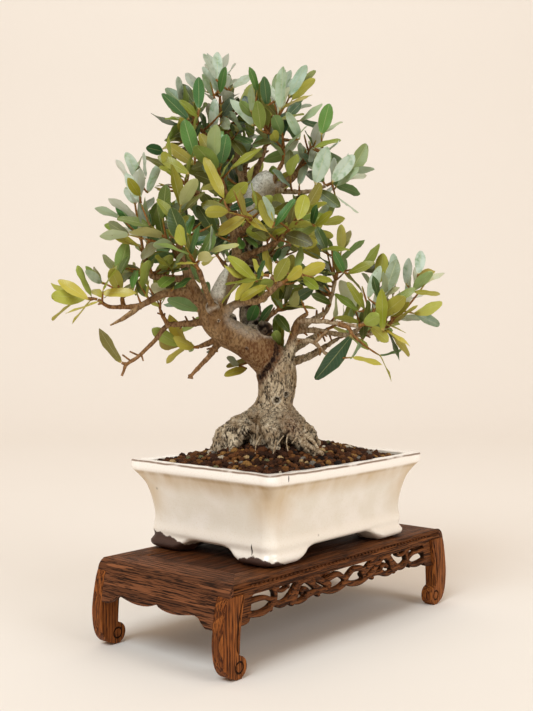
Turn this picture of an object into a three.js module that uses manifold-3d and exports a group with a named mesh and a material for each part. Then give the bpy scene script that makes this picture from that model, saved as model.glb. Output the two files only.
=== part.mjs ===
// An olive bonsai in a glazed rectangular pot on a low carved stand.
// Millimetres, +Z up. The stand's long side lies along X, and the origin is on the floor under the
// middle of the whole part.
import * as THREE from 'three';
import { mergeVertices } from 'three/addons/utils/BufferGeometryUtils.js';
import Module from 'manifold-3d';

const wasm = await Module();
wasm.setup();

// ---- driving dimensions ----------------------------------------------------------------------

const seatGap = 0.3; // clearance between pieces that rest on or against each other

const stand = {
  halfLength: 162.4, halfWidth: 82.5, height: 80,
  boardThickness: 10, railWidth: 26.8, endWidth: 30.8,
  legWidth: 12.5, apronThickness: 9, fretThickness: 6, fretRecess: 3,
};

const pot = {
  halfLength: 118.4, halfWidth: 90.5, height: 85.7, centre: [2.6, 5.9],
  cornerRadius: 14, cornerFlare: 4, flareFrom: 60, floorTop: 18, floorBottom: 11,
  footArmLength: 86, footArmWidth: 54, drainRadius: 11, drainAt: 52,
};

const soil = { edgeHeight: 79, moundHeight: 95, moundReach: 46, grain: 1.1 }; // over the stand's top

const tree = {
  turn: THREE.MathUtils.degToRad(49.2), // the tree's broad side is turned away from the stand's
  plugBottom: 142,
};

const leaf = { keel: 1.2 }; // the blade's thickness along its middle

const finish = {
  wood: { color: 0x5a2f1c, roughness: 0.55, metalness: 0 },
  panel: { color: 0x6a3d24, roughness: 0.5, metalness: 0 },
  glaze: { color: 0xeae0cb, roughness: 0.22, metalness: 0 },
  soil: { color: 0x4a2c1c, roughness: 0.95, metalness: 0 },
  net: { color: 0x1d1d1d, roughness: 0.6, metalness: 0 },
  bark: { color: 0x8c735c, roughness: 0.85, metalness: 0 },
  foliage: { color: 0x6d8244, roughness: 0.5, metalness: 0 },
};

// ---- solids ----------------------------------------------------------------------------------

function toSolid(geometry) {
  const bare = geometry.clone();
  bare.deleteAttribute('normal');
  bare.deleteAttribute('uv');
  const merged = mergeVertices(bare, 1e-4);
  const corners = merged.index.array;
  const kept = [];
  for (let i = 0; i < corners.length; i += 3) { // leaves out the faces that a pole shrinks to a line
    const [a, b, c] = [corners[i], corners[i + 1], corners[i + 2]];
    if (a !== b && b !== c && c !== a) kept.push(a, b, c);
  }
  return new wasm.Manifold(new wasm.Mesh({
    numProp: 3,
    vertProperties: new Float32Array(merged.attributes.position.array),
    triVerts: new Uint32Array(kept),
  }));
}

function toGeometry(solid) {
  const mesh = solid.getMesh();
  const geometry = new THREE.BufferGeometry();
  geometry.setAttribute('position', new THREE.BufferAttribute(mesh.vertProperties, 3));
  geometry.setIndex(new THREE.BufferAttribute(mesh.triVerts, 1));
  geometry.computeVertexNormals();
  return geometry;
}

function joined(geometries) {
  return geometries.map(toSolid).reduce((sum, next) => sum.add(next));
}

// Moves every vertex of a geometry by a rule.
function bent(geometry, move) {
  const place = geometry.attributes.position;
  const point = new THREE.Vector3();
  for (let i = 0; i < place.count; i += 1) {
    point.fromBufferAttribute(place, i);
    move(point);
    place.setXYZ(i, point.x, point.y, point.z);
  }
  return geometry;
}

function addPiece(group, name, geometry, look) {
  const piece = new THREE.Mesh(geometry, new THREE.MeshStandardMaterial(look));
  piece.name = name;
  group.add(piece);
  return piece;
}

function outline(points) {
  return new THREE.Shape(points.map(([x, y]) => new THREE.Vector2(x, y)));
}

// An outline in X and Z with a depth along Y, from nearY on.
function slabXZ(shape, nearY, depth, curveSegments = 6) {
  const slab = new THREE.ExtrudeGeometry(shape, { depth, bevelEnabled: false, curveSegments });
  return slab.rotateX(Math.PI / 2).translate(0, nearY + depth, 0);
}

// ---- stand -----------------------------------------------------------------------------------

// How far the legs and the end aprons stand out along X, over their height.
const bulge = new THREE.SplineCurve([
  [158, 0], [167.5, 4.5], [173.4, 14], [175.8, 30], [174.6, 45], [171.4, 62], [168.8, 70],
].map(([x, z]) => new THREE.Vector2(x, z)));

function bulgeAt(height) {
  const points = bulge.getPoints(60);
  const next = Math.max(1, points.findIndex((point) => point.y >= height));
  const [a, b] = [points[next - 1], points[next]];
  return a.x + ((b.x - a.x) * (height - a.y)) / (b.y - a.y);
}

const boardBottom = stand.height - stand.boardThickness;
const legTop = boardBottom - seatGap;
const legInner = [[147.5, legTop], [150.5, 56], [152.8, 42], [153.8, 30], [154.2, 21]];
const scroll = { x: 155, z: 10, radius: 9.6, flatEnd: 152 };

function makeLeg(sideX, sideY) {
  const edge = [[scroll.flatEnd, 0]];
  bulge.getPoints(12).forEach((point) => {
    if (point.y < legTop - 1) edge.push([point.x, point.y]);
  });
  edge.push([bulgeAt(legTop), legTop], ...legInner);
  const turns = 9;
  for (let i = 0; i <= turns; i += 1) { // the rolled foot, from the leg's inner edge to the floor
    const angle = THREE.MathUtils.lerp(1.68, 4.32, i / turns);
    edge.push([scroll.x + scroll.radius * Math.cos(angle), scroll.z + scroll.radius * Math.sin(angle)]);
  }
  const nearY = sideY > 0 ? stand.halfWidth - stand.legWidth : -stand.halfWidth;
  return slabXZ(outline(edge.map(([x, z]) => [sideX * x, z])), nearY, stand.legWidth);
}

// The long rail's section: distance in from the stand's long side, and height.
const railSection = [
  [stand.railWidth, boardBottom], [1.8, boardBottom], [0.6, boardBottom + 1.2],
  [0.6, boardBottom + 3.4], [2.6, boardBottom + 4.6], [1.6, boardBottom + 7],
  [0, boardBottom + 8.8], [1, stand.height], [stand.railWidth, stand.height],
];

// The front rail; its ends are cut to a mitre.
function makeRail() {
  const mitre = stand.endWidth / stand.railWidth;
  return bent(slabXZ(outline(railSection), 0, 1), (point) => {
    const inward = point.x;
    const half = stand.halfLength - inward * mitre - seatGap;
    point.set(point.y > 0.5 ? -half : half, inward - stand.halfWidth, point.z);
  });
}

// The right end board; its outer edge rolls over into the legs and the apron.
function makeEndBoard() {
  const inner = stand.halfLength - stand.endWidth;
  const section = [[inner, boardBottom], [168.4, boardBottom], [167.4, 73], [165.4, 76.4], [162.6, 78.9],
    [158.8, stand.height], [inner, stand.height]];
  const mitre = stand.railWidth / stand.endWidth;
  return bent(slabXZ(outline(section), 0, 1), (point) => {
    const inward = Math.max(0, stand.halfLength - point.x);
    const reach = stand.halfWidth - inward * mitre;
    point.y = point.y > 0.5 ? reach : -reach;
  });
}

function makeTopPanel() {
  const halfX = stand.halfLength - stand.endWidth - 2 * seatGap;
  const halfY = stand.halfWidth - stand.railWidth - 2 * seatGap;
  const thick = stand.boardThickness - 1.5;
  const panel = new THREE.BoxGeometry(2 * halfX, 2 * halfY, thick);
  return panel.translate(0, 0, stand.height - 0.4 - thick / 2);
}

// Half of the end apron's lower edge, from the middle cusp to the leg: distance along Y, height.
const apronEdge = [[0, 52.5], [4, 50], [9, 48.6], [15, 47.8], [22, 47.5], [30, 48], [38, 49.4], [44, 50.6],
  [48, 50.8], [52, 49.6], [56, 46], [60, 43], [62, 42.5]];

// The right end apron, bent to the curve of the legs.
function makeEndApron() {
  const end = stand.halfWidth - stand.legWidth - seatGap;
  const half = [...apronEdge, [end, 42.5]];
  const mirrored = half.slice(1).reverse().map(([y, z]) => [-y, z]);
  const shape = outline([...mirrored, ...half, [end, 56], [end, legTop], [-end, legTop], [-end, 56]]);
  const apron = new THREE.ExtrudeGeometry(shape, { depth: 1, bevelEnabled: false });
  return bent(apron, (point) => {
    const [y, z, depth] = [point.x, point.y, point.z];
    point.set(bulgeAt(z) - (1 - depth) * stand.apronThickness, y, z);
  });
}

// The scrolls of the fretwork's right half: points along X and Z, and how wide the wood is there.
const fretScrolls = [
  { line: [[140, 50.5], [131, 48.6], [121, 48], [111, 50.5], [104.5, 56], [104, 62], [108, 68]], width: 4.2 },
  { line: [[140, 60], [128, 60.8], [116, 59.8], [107, 56]], width: 3.6 },
  { line: [[105, 54], [97, 50.2], [88, 51.4], [80, 57], [74, 63], [69, 68]], width: 4.8 },
  { line: [[104, 67], [98, 62.8], [91, 62.2], [87, 64.4]], width: 3 },
  { line: [[86, 49.6], [77, 52.5], [75, 58], [70, 64], [62, 65.6], [54, 61.6], [46, 56], [36, 51.2],
    [23, 47.8], [9, 48.8], [-1, 52.5]], width: 4.6 },
  { line: [[82, 49.6], [70, 47.4], [60, 50], [58.4, 54.6], [63.4, 57.6], [68.4, 55.4]], width: 3.6 },
  { line: [[64, 49.4], [52, 51.4], [38, 50.6]], width: 4.2 },
  { line: [[52, 67.5], [43, 63], [33, 57.6], [25, 53.5]], width: 5.4 },
  { line: [[34, 57.4], [23, 61], [12, 61.6], [5, 58], [-1, 54]], width: 4.2 },
];
const fretDrops = [[110, 48.6], [81, 47.6], [43, 48.4]];
const fretDropRadius = 2.3;
const fretRailBottom = 66.3;

function ribbonShape(line, width) {
  const curve = new THREE.SplineCurve(line.map(([x, z]) => new THREE.Vector2(x, z)));
  const steps = line.length - 1;
  const [left, right] = [[], []];
  for (let i = 0; i <= steps; i += 1) {
    const at = curve.getPoint(i / steps);
    const along = curve.getTangent(i / steps);
    left.push([at.x - (along.y * width) / 2, at.y + (along.x * width) / 2]);
    right.unshift([at.x + (along.y * width) / 2, at.y - (along.x * width) / 2]);
  }
  return outline([...left, ...right]);
}

// The front fretwork, sawn from one board; the wide blocks at its ends fill the corners by the legs.
function makeFretwork() {
  const nearY = -stand.halfWidth + stand.fretRecess;
  const slab = (shape) => toSolid(slabXZ(shape, nearY, stand.fretThickness, 3));
  const inner = legInner.filter(([, z]) => z >= 42).map(([x, z]) => [x - seatGap, z]);
  const block = outline([...inner, [143, 42.4], [139.4, 43.4], [137.4, 46], [137, 50], [136, 58], [137, 63],
    [133, fretRailBottom], [133, legTop]]);
  const pieces = [slab(block)];
  fretScrolls.forEach(({ line, width }) => pieces.push(slab(ribbonShape(line, width))));
  fretDrops.forEach(([x, z]) => {
    const drop = new THREE.Shape();
    drop.absarc(x, z, fretDropRadius, 0, 2 * Math.PI);
    pieces.push(slab(drop));
  });
  const half = pieces.reduce((sum, next) => sum.add(next));
  const railLength = 280;
  const rail = slabXZ(outline([[-railLength / 2, fretRailBottom], [railLength / 2, fretRailBottom],
    [railLength / 2, legTop], [-railLength / 2, legTop]]), nearY, stand.fretThickness);
  const above = new THREE.BoxGeometry(2 * railLength, 40, 20).translate(0, nearY, legTop + 10);
  return toGeometry(half.add(half.mirror([1, 0, 0])).add(toSolid(rail)).subtract(toSolid(above)));
}

function makeStand() {
  const group = new THREE.Group();
  const halfTurn = Math.PI;
  addPiece(group, 'stand_top_panel', makeTopPanel(), finish.panel);
  addPiece(group, 'stand_rail_front', makeRail(), finish.wood);
  addPiece(group, 'stand_rail_back', makeRail(), finish.wood).rotation.z = halfTurn;
  addPiece(group, 'stand_end_board_right', makeEndBoard(), finish.wood);
  addPiece(group, 'stand_end_board_left', makeEndBoard(), finish.wood).rotation.z = halfTurn;
  addPiece(group, 'stand_end_apron_right', makeEndApron(), finish.wood);
  addPiece(group, 'stand_end_apron_left', makeEndApron(), finish.wood).rotation.z = halfTurn;
  addPiece(group, 'stand_fretwork_front', makeFretwork(), finish.wood);
  addPiece(group, 'stand_fretwork_back', makeFretwork(), finish.wood).rotation.z = halfTurn;
  [['front', -1], ['back', 1]].forEach(([row, sideY]) => {
    [['left', -1], ['right', 1]].forEach(([column, sideX]) => {
      addPiece(group, `stand_leg_${row}_${column}`, makeLeg(sideX, sideY), finish.wood);
    });
  });
  return group;
}

// ---- pot -------------------------------------------------------------------------------------

const slimness = pot.halfLength - pot.halfWidth;
const arcSteps = 4; // straight stretches in a corner; what is left of the columns lies on the sides

// A point of a rounded rectangle with the given half length: its number round the outline, from the
// middle of the +X side on, of so many columns. The corners are drawn out by the flare.
function rectanglePoint(number, columns, halfLength, flare) {
  const halfWidth = halfLength - slimness;
  const radius = Math.max(5, pot.cornerRadius - 0.2 * (pot.halfLength - halfLength));
  const perSide = columns / 4;
  const side = Math.floor(number / perSide);
  const step = number % perSide;
  const corner = (quarter, angle) => {
    const [signX, signY] = [[1, 1], [-1, 1], [-1, -1], [1, -1]][quarter % 4];
    const drawn = flare * Math.SQRT1_2 * Math.abs(Math.sin(2 * angle));
    return [signX * (halfLength - radius + drawn) + radius * Math.cos(angle),
      signY * (halfWidth - radius + drawn) + radius * Math.sin(angle)];
  };
  const start = (side * Math.PI) / 2;
  if (step <= arcSteps) return corner(side, start + (step / arcSteps) * (Math.PI / 2));
  const from = corner(side, start + Math.PI / 2);
  const to = corner(side + 1, start + Math.PI / 2);
  const part = (step - arcSteps) / (perSide - arcSteps);
  return [from[0] + (to[0] - from[0]) * part, from[1] + (to[1] - from[1]) * part];
}

// A turned profile, given as half length and height, whose circles become rounded rectangles.
function rectangular(profile, columns) {
  const turned = new THREE.LatheGeometry(profile.map(([x, z]) => new THREE.Vector2(x, z)), columns);
  const smallest = 30 + slimness;
  return bent(turned.rotateX(Math.PI / 2), (point) => {
    const reach = Math.hypot(point.x, point.y);
    if (reach < 1e-6) return;
    const turnShare = Math.atan2(point.y, point.x) / (2 * Math.PI);
    const number = (Math.round(turnShare * columns) + columns) % columns;
    const flare = pot.cornerFlare * THREE.MathUtils.smoothstep(point.z, pot.flareFrom, pot.height - 6);
    const [x, y] = rectanglePoint(number, columns, Math.max(reach, smallest), flare);
    const shrink = Math.min(1, reach / smallest);
    point.set(shrink * x, shrink * y, point.z);
  });
}

// How far the outer wall stands in from the rim, and the height.
const potWall = [[16, 0], [12, 2.4], [10.2, 6.4], [13.2, 12.2], [12.2, 18], [13.6, 30], [11.6, 46], [7.4, 61.5],
  [3, 71.5], [-0.4, 77.5], [-0.8, 84], [0.6, pot.height]];

// The inside, as half length and height.
const potInside = [[84, pot.floorTop], [91, pot.floorTop + 5], [93.4, 36], [98, 58], [104.7, 77], [107, 83.6]];

function makePot() {
  const columns = 20;
  const outer = [[0, 0], ...potWall.map(([inset, z]) => [pot.halfLength - inset, z]), [0, pot.height]];
  const mouth = potInside.at(-1)[0] + 1.4;
  const inside = [[0, pot.floorTop], ...potInside, [mouth, pot.height + 4], [0, pot.height + 4]];
  const under = new THREE.BoxGeometry(2 * pot.footArmLength, 2 * pot.footArmWidth, 2 * pot.floorBottom);
  // Half of the cloud-shaped opening between two feet: distance along the side, height.
  const longCut = [[68, -2], [68, 1.2], [63, 3.6], [57, 7], [52, 10.2], [46, 12], [38, 12.6]];
  const shortCut = [[43, -2], [43, 1.2], [38.5, 3.8], [33.5, 7.4], [28.5, 10.8], [22, 12.4], [16, 12.8]];
  const opening = (half) => outline([...half.map(([x, z]) => [-x, z]), ...half.slice().reverse()]);
  const long = slabXZ(opening(longCut), -2 * pot.halfWidth, 4 * pot.halfWidth);
  const short = slabXZ(opening(shortCut), -2 * pot.halfLength, 4 * pot.halfLength).rotateZ(Math.PI / 2);
  let body = toSolid(rectangular(outer, columns)).subtract(toSolid(rectangular(inside, columns)));
  [under, long, short].forEach((cut) => { body = body.subtract(toSolid(cut)); });
  [-1, 1].forEach((side) => {
    const hole = new THREE.CylinderGeometry(pot.drainRadius, pot.drainRadius, 40, 12).rotateX(Math.PI / 2);
    body = body.subtract(toSolid(hole.translate(side * pot.drainAt, 0, pot.floorTop)));
  });
  return toGeometry(body);
}

const net = { radius: 17, thickness: 1.4 };

function makeDrainNet(side) {
  const disc = new THREE.CylinderGeometry(net.radius, net.radius, net.thickness, 12).rotateX(Math.PI / 2);
  return disc.translate(side * pot.drainAt, 0, pot.floorTop + seatGap + net.thickness / 2);
}

// ---- trunk foot and soil ---------------------------------------------------------------------

// From the tree's own directions (across its broad side, back from it, height over the floor).
function placed([across, deep, height]) {
  const [cos, sin] = [Math.cos(tree.turn), Math.sin(tree.turn)];
  return new THREE.Vector3(pot.centre[0] + across * cos + deep * sin,
    pot.centre[1] - across * sin + deep * cos, height);
}

// Surface roots: direction in the tree's own plan, how far each swells out, and its half angle.
const roots = [[180, 21, 22], [0, 19, 20], [248, 12, 15], [305, 10, 14], [62, 12, 16], [120, 11, 16]];

// The trunk from its plug in the soil up: height, across, deep, radius, and how much of each root.
const trunkRings = [[tree.plugBottom, -14, 0, 35, 1], [178, -14, 0, 35, 1], [190, -14, 0, 32, 0.86],
  [199, -14, 0, 28, 0.6], [208, -12, 0, 24.5, 0.34], [221, -9, 0, 20.6, 0.14], [236, -5, 0, 19, 0.05],
  [251, -5, 0, 19.8, 0.03], [263, -7, 1, 18.6, 0.03], [273, -11, 2, 12, 0]];

const footColumns = 20;

function trunkRadius(angle, base, share) {
  const swell = roots.reduce((sum, [heading, reach, half]) => {
    const off = THREE.MathUtils.euclideanModulo(THREE.MathUtils.radToDeg(angle) - heading + 180, 360) - 180;
    return sum + reach * Math.exp(-((off / half) ** 2));
  }, 0);
  return base * (1 + 0.05 * Math.sin(7 * angle + base)) + share * swell;
}

function makeTrunkFoot() {
  const rings = trunkRings.length;
  const profile = [[0, 0], ...trunkRings.map((ring, i) => [1, i]), [0, rings - 1]];
  const turned = new THREE.LatheGeometry(profile.map(([x, z]) => new THREE.Vector2(x, z)), footColumns);
  return bent(turned.rotateX(Math.PI / 2), (point) => {
    const [height, across, deep, base, share] = trunkRings[Math.round(point.z)];
    const reach = Math.hypot(point.x, point.y) * trunkRadius(Math.atan2(point.y, point.x), base, share);
    const angle = Math.atan2(point.y, point.x);
    point.copy(placed([across + reach * Math.cos(angle), deep + reach * Math.sin(angle), height]));
  });
}

// The hole in the soil for the trunk's plug.
function makePlugHole() {
  const [height, across, deep, base, share] = trunkRings[0];
  const points = [];
  for (let i = 0; i < footColumns; i += 1) {
    const angle = (i / footColumns) * 2 * Math.PI;
    const reach = trunkRadius(angle, base, share) + 1.2 * seatGap;
    const point = placed([across + reach * Math.cos(angle), deep + reach * Math.sin(angle), height]);
    points.push([point.x, point.y]);
  }
  const hole = new THREE.ExtrudeGeometry(outline(points), { depth: 60, bevelEnabled: false });
  return hole.translate(0, 0, height - seatGap);
}

function soilTop(x, y) {
  const foot = placed([trunkRings[0][1], trunkRings[0][2], 0]);
  const away = Math.hypot((x + pot.centre[0] - foot.x) / 1.15, y + pot.centre[1] - foot.y);
  const mound = 1 / (1 + (away / soil.moundReach) ** 3);
  const grains = Math.sin(x * 0.93 + y * 0.41) * Math.sin(y * 1.07 - x * 0.36)
    + 0.7 * Math.sin(x * 0.51 - y * 0.77 + 1.3);
  return soil.edgeHeight + (soil.moundHeight - soil.edgeHeight) * mound + grains * soil.grain;
}

function wallInside(height) {
  const next = Math.max(1, potInside.findIndex(([, z]) => z >= height));
  const [[x0, z0], [x1, z1]] = [potInside[next - 1], potInside[next]];
  return x0 + ((x1 - x0) * (height - z0)) / (z1 - z0) - 1.4 * seatGap;
}

function makeSoil() {
  const bottom = pot.floorTop + seatGap;
  const edge = soil.edgeHeight - 2;
  const sideHeights = [pot.floorTop + 5, 36, 58, edge];
  const profile = [[0, bottom], [83.4, bottom], ...sideHeights.map((z) => [wallInside(z), z])];
  const rings = 7;
  for (let i = 1; i <= rings; i += 1) profile.push([wallInside(edge) * (1 - i / rings), edge + 1]);
  const filling = bent(rectangular(profile, 32), (point) => {
    if (point.z > edge + 0.5) point.z = soilTop(point.x, point.y);
  });
  let body = toSolid(filling).subtract(toSolid(makePlugHole().translate(-pot.centre[0], -pot.centre[1],
    -stand.height - seatGap)));
  [-1, 1].forEach((side) => {
    const pocket = new THREE.CylinderGeometry(net.radius + seatGap, net.radius + seatGap, 4, 12);
    pocket.rotateX(Math.PI / 2).translate(side * pot.drainAt, 0, bottom);
    body = body.subtract(toSolid(pocket));
  });
  return toGeometry(body);
}

function makePotAndSoil() {
  const group = new THREE.Group();
  group.position.set(pot.centre[0], pot.centre[1], stand.height + seatGap);
  addPiece(group, 'pot', makePot(), finish.glaze);
  addPiece(group, 'drain_net_left', makeDrainNet(-1), finish.net);
  addPiece(group, 'drain_net_right', makeDrainNet(1), finish.net);
  addPiece(group, 'soil', makeSoil(), finish.soil);
  return group;
}

// ---- wood of the tree ------------------------------------------------------------------------

// Points of each limb in the tree's own directions: across, deep, height, radius.
const limbs = {
  rearTrunk: [[-10, 3, 256, 16], [-20, 10, 280, 14.5], [-29, 19, 304, 11.8], [-31, 25, 330, 10.2],
    [-27, 28, 358, 9.6], [-28, 29, 384, 9.6], [-33, 27, 404, 10.6], [-30, 25, 418, 11.8], [-21, 23, 431, 12],
    [-11, 21, 441, 10.6], [-6, 20, 445.5, 6]],
  leftLimb: [[-4, 0, 252, 17], [-16, -5, 266, 17.2], [-34, -11, 279, 15.5], [-55, -17, 291, 14.6],
    [-67, -20, 305, 13.4], [-69, -21, 318, 10.4], [-68, -22, 324, 6]],
  chiselStub: [[-64, -26, 312, 9], [-60, -29, 330, 8.4], [-55, -31, 344, 5.6], [-50, -31, 354, 1.6]],
  leader: [[-64, -18, 310, 9], [-56, -13, 329, 7.6], [-48, -8, 345, 6.6], [-43, -6, 362, 6],
    [-44, -4, 380, 5.6], [-47, -4, 396, 5], [-49, -6, 408, 4.2]],
  leftArm: [[-69, -22, 310, 7.4], [-80, -27, 323, 6.2], [-87, -31, 337, 5.2], [-92, -34, 351, 4.2],
    [-97, -37, 364, 2.6]],
  armUp: [[-92, -34, 352, 3.4], [-96, -42, 366, 2.8], [-98, -48, 380, 2.2]],
  lowArm: [[-74, -22, 314, 5.8], [-91, -28, 327, 4.8], [-112, -35, 326, 4.1], [-124, -38, 320, 3.6],
    [-136, -41, 313, 3], [-149, -45, 303, 2.3], [-163, -49, 295, 1.6]],
  farLeft: [[-134, -41, 314, 2.8], [-150, -39, 313, 2.3], [-166, -37, 314, 2], [-176, -35, 320, 1.7]],
  farLeftUp: [[-151, -39, 313, 2.3], [-153, -35, 322, 1.8]],
  padLimb: [[-89, -31, 340, 4], [-112, -25, 342, 3.3], [-126, -20, 345, 2.9], [-132, -18, 357, 2.5],
    [-134, -18, 366, 2.1]],
  padRear: [[-91, -33, 350, 3.4], [-98, -20, 361, 2.9], [-105, -7, 370, 2.3]],
  lowLeft: [[-72, -16, 300, 4.6], [-88, -10, 298, 3.5], [-100, -8, 297, 3.1], [-112, -8, 296, 2.7],
    [-123, -11, 282, 2.3], [-139, -15, 266, 1.9], [-152, -17, 256, 1.7], [-156, -18, 246, 1.2]],
  lowLeftSpur: [[-151, -17, 257, 1.6], [-156, -18, 259, 1.4]],
  lowLeftUp: [[-111, -8, 296, 2.3], [-116, -8, 304, 1.9], [-119, -8, 311, 1.6]],
  lowLeaf: [[-57, -10, 284, 4.4], [-70, -3, 279, 3.1], [-80, 2, 275, 2.3]],
  cutTwig: [[-58, -12, 283, 4.2], [-70, -8, 266, 2.7], [-81, -10, 254, 2.2], [-88, -11, 246, 1.9],
    [-89, -11, 243, 2.8]],
  centreLow: [[-54, -24, 308, 5.6], [-44, -32, 316, 4.3], [-34, -37, 318, 3.8], [-22, -40, 319, 3.4],
    [-12, -42, 326, 3], [-5, -43, 333, 2.6], [-5, -45, 339, 2.3], [-10, -46, 342, 2]],
  innerTwig: [[-24, 15, 294, 4.6], [-12, 8, 304, 2.8], [-3, 2, 311, 2.1]],
  centreRight: [[-11, -42, 328, 2.6], [1, -40, 336, 2.1]],
  centreUp: [[-44, -6, 360, 4.4], [-30, -14, 366, 3.4], [-16, -20, 371, 3], [-4, -26, 377, 2.6],
    [4, -30, 384, 2.3]],
  midLeft: [[-48, -6, 401, 4.2], [-60, -14, 412, 3.3], [-74, -20, 421, 2.9], [-88, -25, 428, 2.3]],
  midFront: [[-48, -6, 404, 3.8], [-52, -13, 420, 3], [-56, -17, 434, 2.4]],
  crownLeft: [[-34, 26, 416, 6], [-40, 28, 444, 4.5], [-44, 30, 470, 3.7], [-54, 28, 491, 3],
    [-60, 26, 508, 2.3]],
  crownLow: [[-56, 23, 472.5, 2.9], [-72, 10, 473, 2.5], [-84, 4, 477, 2.1]],
  crownSide: [[-43, 30, 461, 3.4], [-58, 22, 474, 2.8], [-72, 17, 486, 2.4], [-80, 15, 494, 2]],
  crownRight: [[-27, 26, 424, 5], [-25, 32, 452, 3.5], [-19, 36, 468, 2.9], [-15, 38, 482, 2.4]],
  crownFront: [[-9, 20, 438, 3.4], [-2, 11, 451, 2.4], [3, 6, 461, 2]],
  crownBack: [[-38, 29, 446, 3.8], [-36, 48, 462, 2.8], [-33, 60, 476, 2.3]],
  rightTop: [[-14, 21, 430, 5.6], [-2, 20, 437, 4.4], [14, 22, 448, 3.6], [24, 24, 463, 2.8],
    [30, 25, 473, 2.3]],
  rightMid: [[-4, 19, 434, 3.8], [16, 15, 431, 3], [34, 13, 432, 2.6], [46, 12, 437, 2.2]],
  rightStub: [[3, -2, 254, 9], [9, -5, 268, 7.2], [11, -8, 282, 6.2], [15, -10, 295, 5], [21, -12, 303, 4],
    [27, -13, 308, 2.6]],
  rightLow: [[18, -11, 300, 4], [40, -20, 300, 3.2], [58, -26, 297, 2.8], [74, -30, 295, 2.3]],
  hangSpur: [[57, -26, 297, 2.4], [66, -31, 293, 2], [69, -33, 287, 1.6]],
  underTwig: [[-14, 8, 262, 4], [-24, 20, 262, 2], [-27, 23, 261, 1.6]],
  rightFar: [[12, -7, 290, 4.6], [34, 0, 291, 3.8], [52, 6, 288, 3.4], [72, 10, 286, 3], [92, 12, 288, 2.7],
    [107, 13, 294, 2.3]],
  rightPad: [[71, 10, 286, 2.9], [82, -3, 296, 2.5], [90, -12, 305, 2.1]],
  rightBare: [[10, -6, 276, 4.4], [22, -10, 281, 3.2], [34, -18, 278, 2.6], [46, -24, 266, 1.6]],
  rightBareUp: [[33, -17, 278, 2.3], [45, -26, 290, 1.5]],
  rightRear: [[4, 6, 258, 6.4], [22, 13, 262, 4.2], [36, 18, 268, 3.4], [50, 23, 277, 2.8],
    [62, 27, 284, 2.3]],
  rightUp: [[14, -8, 289, 4.6], [32, 4, 301, 3.6], [46, 8, 310, 3.1], [52, 10, 326, 2.7], [56, 12, 342, 2.3]],
  backLeft: [[-31, 22, 326, 6], [-38, 44, 340, 4], [-50, 66, 352, 3.2], [-62, 84, 366, 2.3]],
  backRight: [[-27, 26, 358, 6], [-10, 50, 370, 4], [8, 70, 380, 3.2], [22, 86, 392, 2.3]],
  backUpper: [[-29, 28, 388, 5.6], [-40, 48, 404, 3.6], [-48, 66, 418, 2.8], [-54, 80, 430, 2.3]],
  backLowLeft: [[-21, 12, 284, 6], [-34, 34, 292, 4], [-52, 56, 298, 3.2], [-70, 74, 304, 2.3]],
  backLowRight: [[-2, 6, 264, 6], [18, 32, 274, 4], [34, 50, 283, 3.2], [50, 66, 292, 2.3]],
  frontLeft: [[-62, -24, 303, 5.6], [-67, -46, 318, 3.5], [-72, -62, 332, 2.8], [-76, -76, 346, 2.3]],
  frontMid: [[-44, -5, 378, 4.4], [-38, -24, 386, 3], [-31, -42, 394, 2.3]],
};

// A tapered round limb with one ring at each of its points, flat at both ends.
function limbGeometry(points, sides) {
  const curve = new THREE.CatmullRomCurve3(points.map(placed));
  const last = points.length - 1;
  const profile = [[0, 0], ...points.map((point, i) => [point[3], i]), [0, last]];
  const frames = [];
  let before = curve.getTangent(0);
  let across = Math.abs(before.z) < 0.9 ? new THREE.Vector3(0, 0, 1) : new THREE.Vector3(1, 0, 0);
  points.forEach((point, i) => {
    const along = curve.getTangent(i / last);
    across = across.clone().applyQuaternion(new THREE.Quaternion().setFromUnitVectors(before, along));
    across.addScaledVector(along, -across.dot(along)).normalize();
    frames.push({ at: placed(point), across, cross: new THREE.Vector3().crossVectors(across, along) });
    before = along;
  });
  const turned = new THREE.LatheGeometry(profile.map(([x, y]) => new THREE.Vector2(x, y)), sides);
  return bent(turned, (point) => {
    const { at, across: right, cross } = frames[Math.round(point.y)];
    const [x, z] = [point.x, point.z];
    point.copy(at).addScaledVector(right, x).addScaledVector(cross, z);
  });
}

function makeWood() {
  const pieces = [makeTrunkFoot()];
  Object.values(limbs).forEach((points) => {
    const widest = Math.max(...points.map((point) => point[3]));
    const sides = [9, 6, 5, 4][[10, 7, 5.8].filter((limit) => widest < limit).length];
    pieces.push(limbGeometry(points, sides));
  });
  return toGeometry(joined(pieces));
}

// ---- leafy sprays ----------------------------------------------------------------------------

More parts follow.
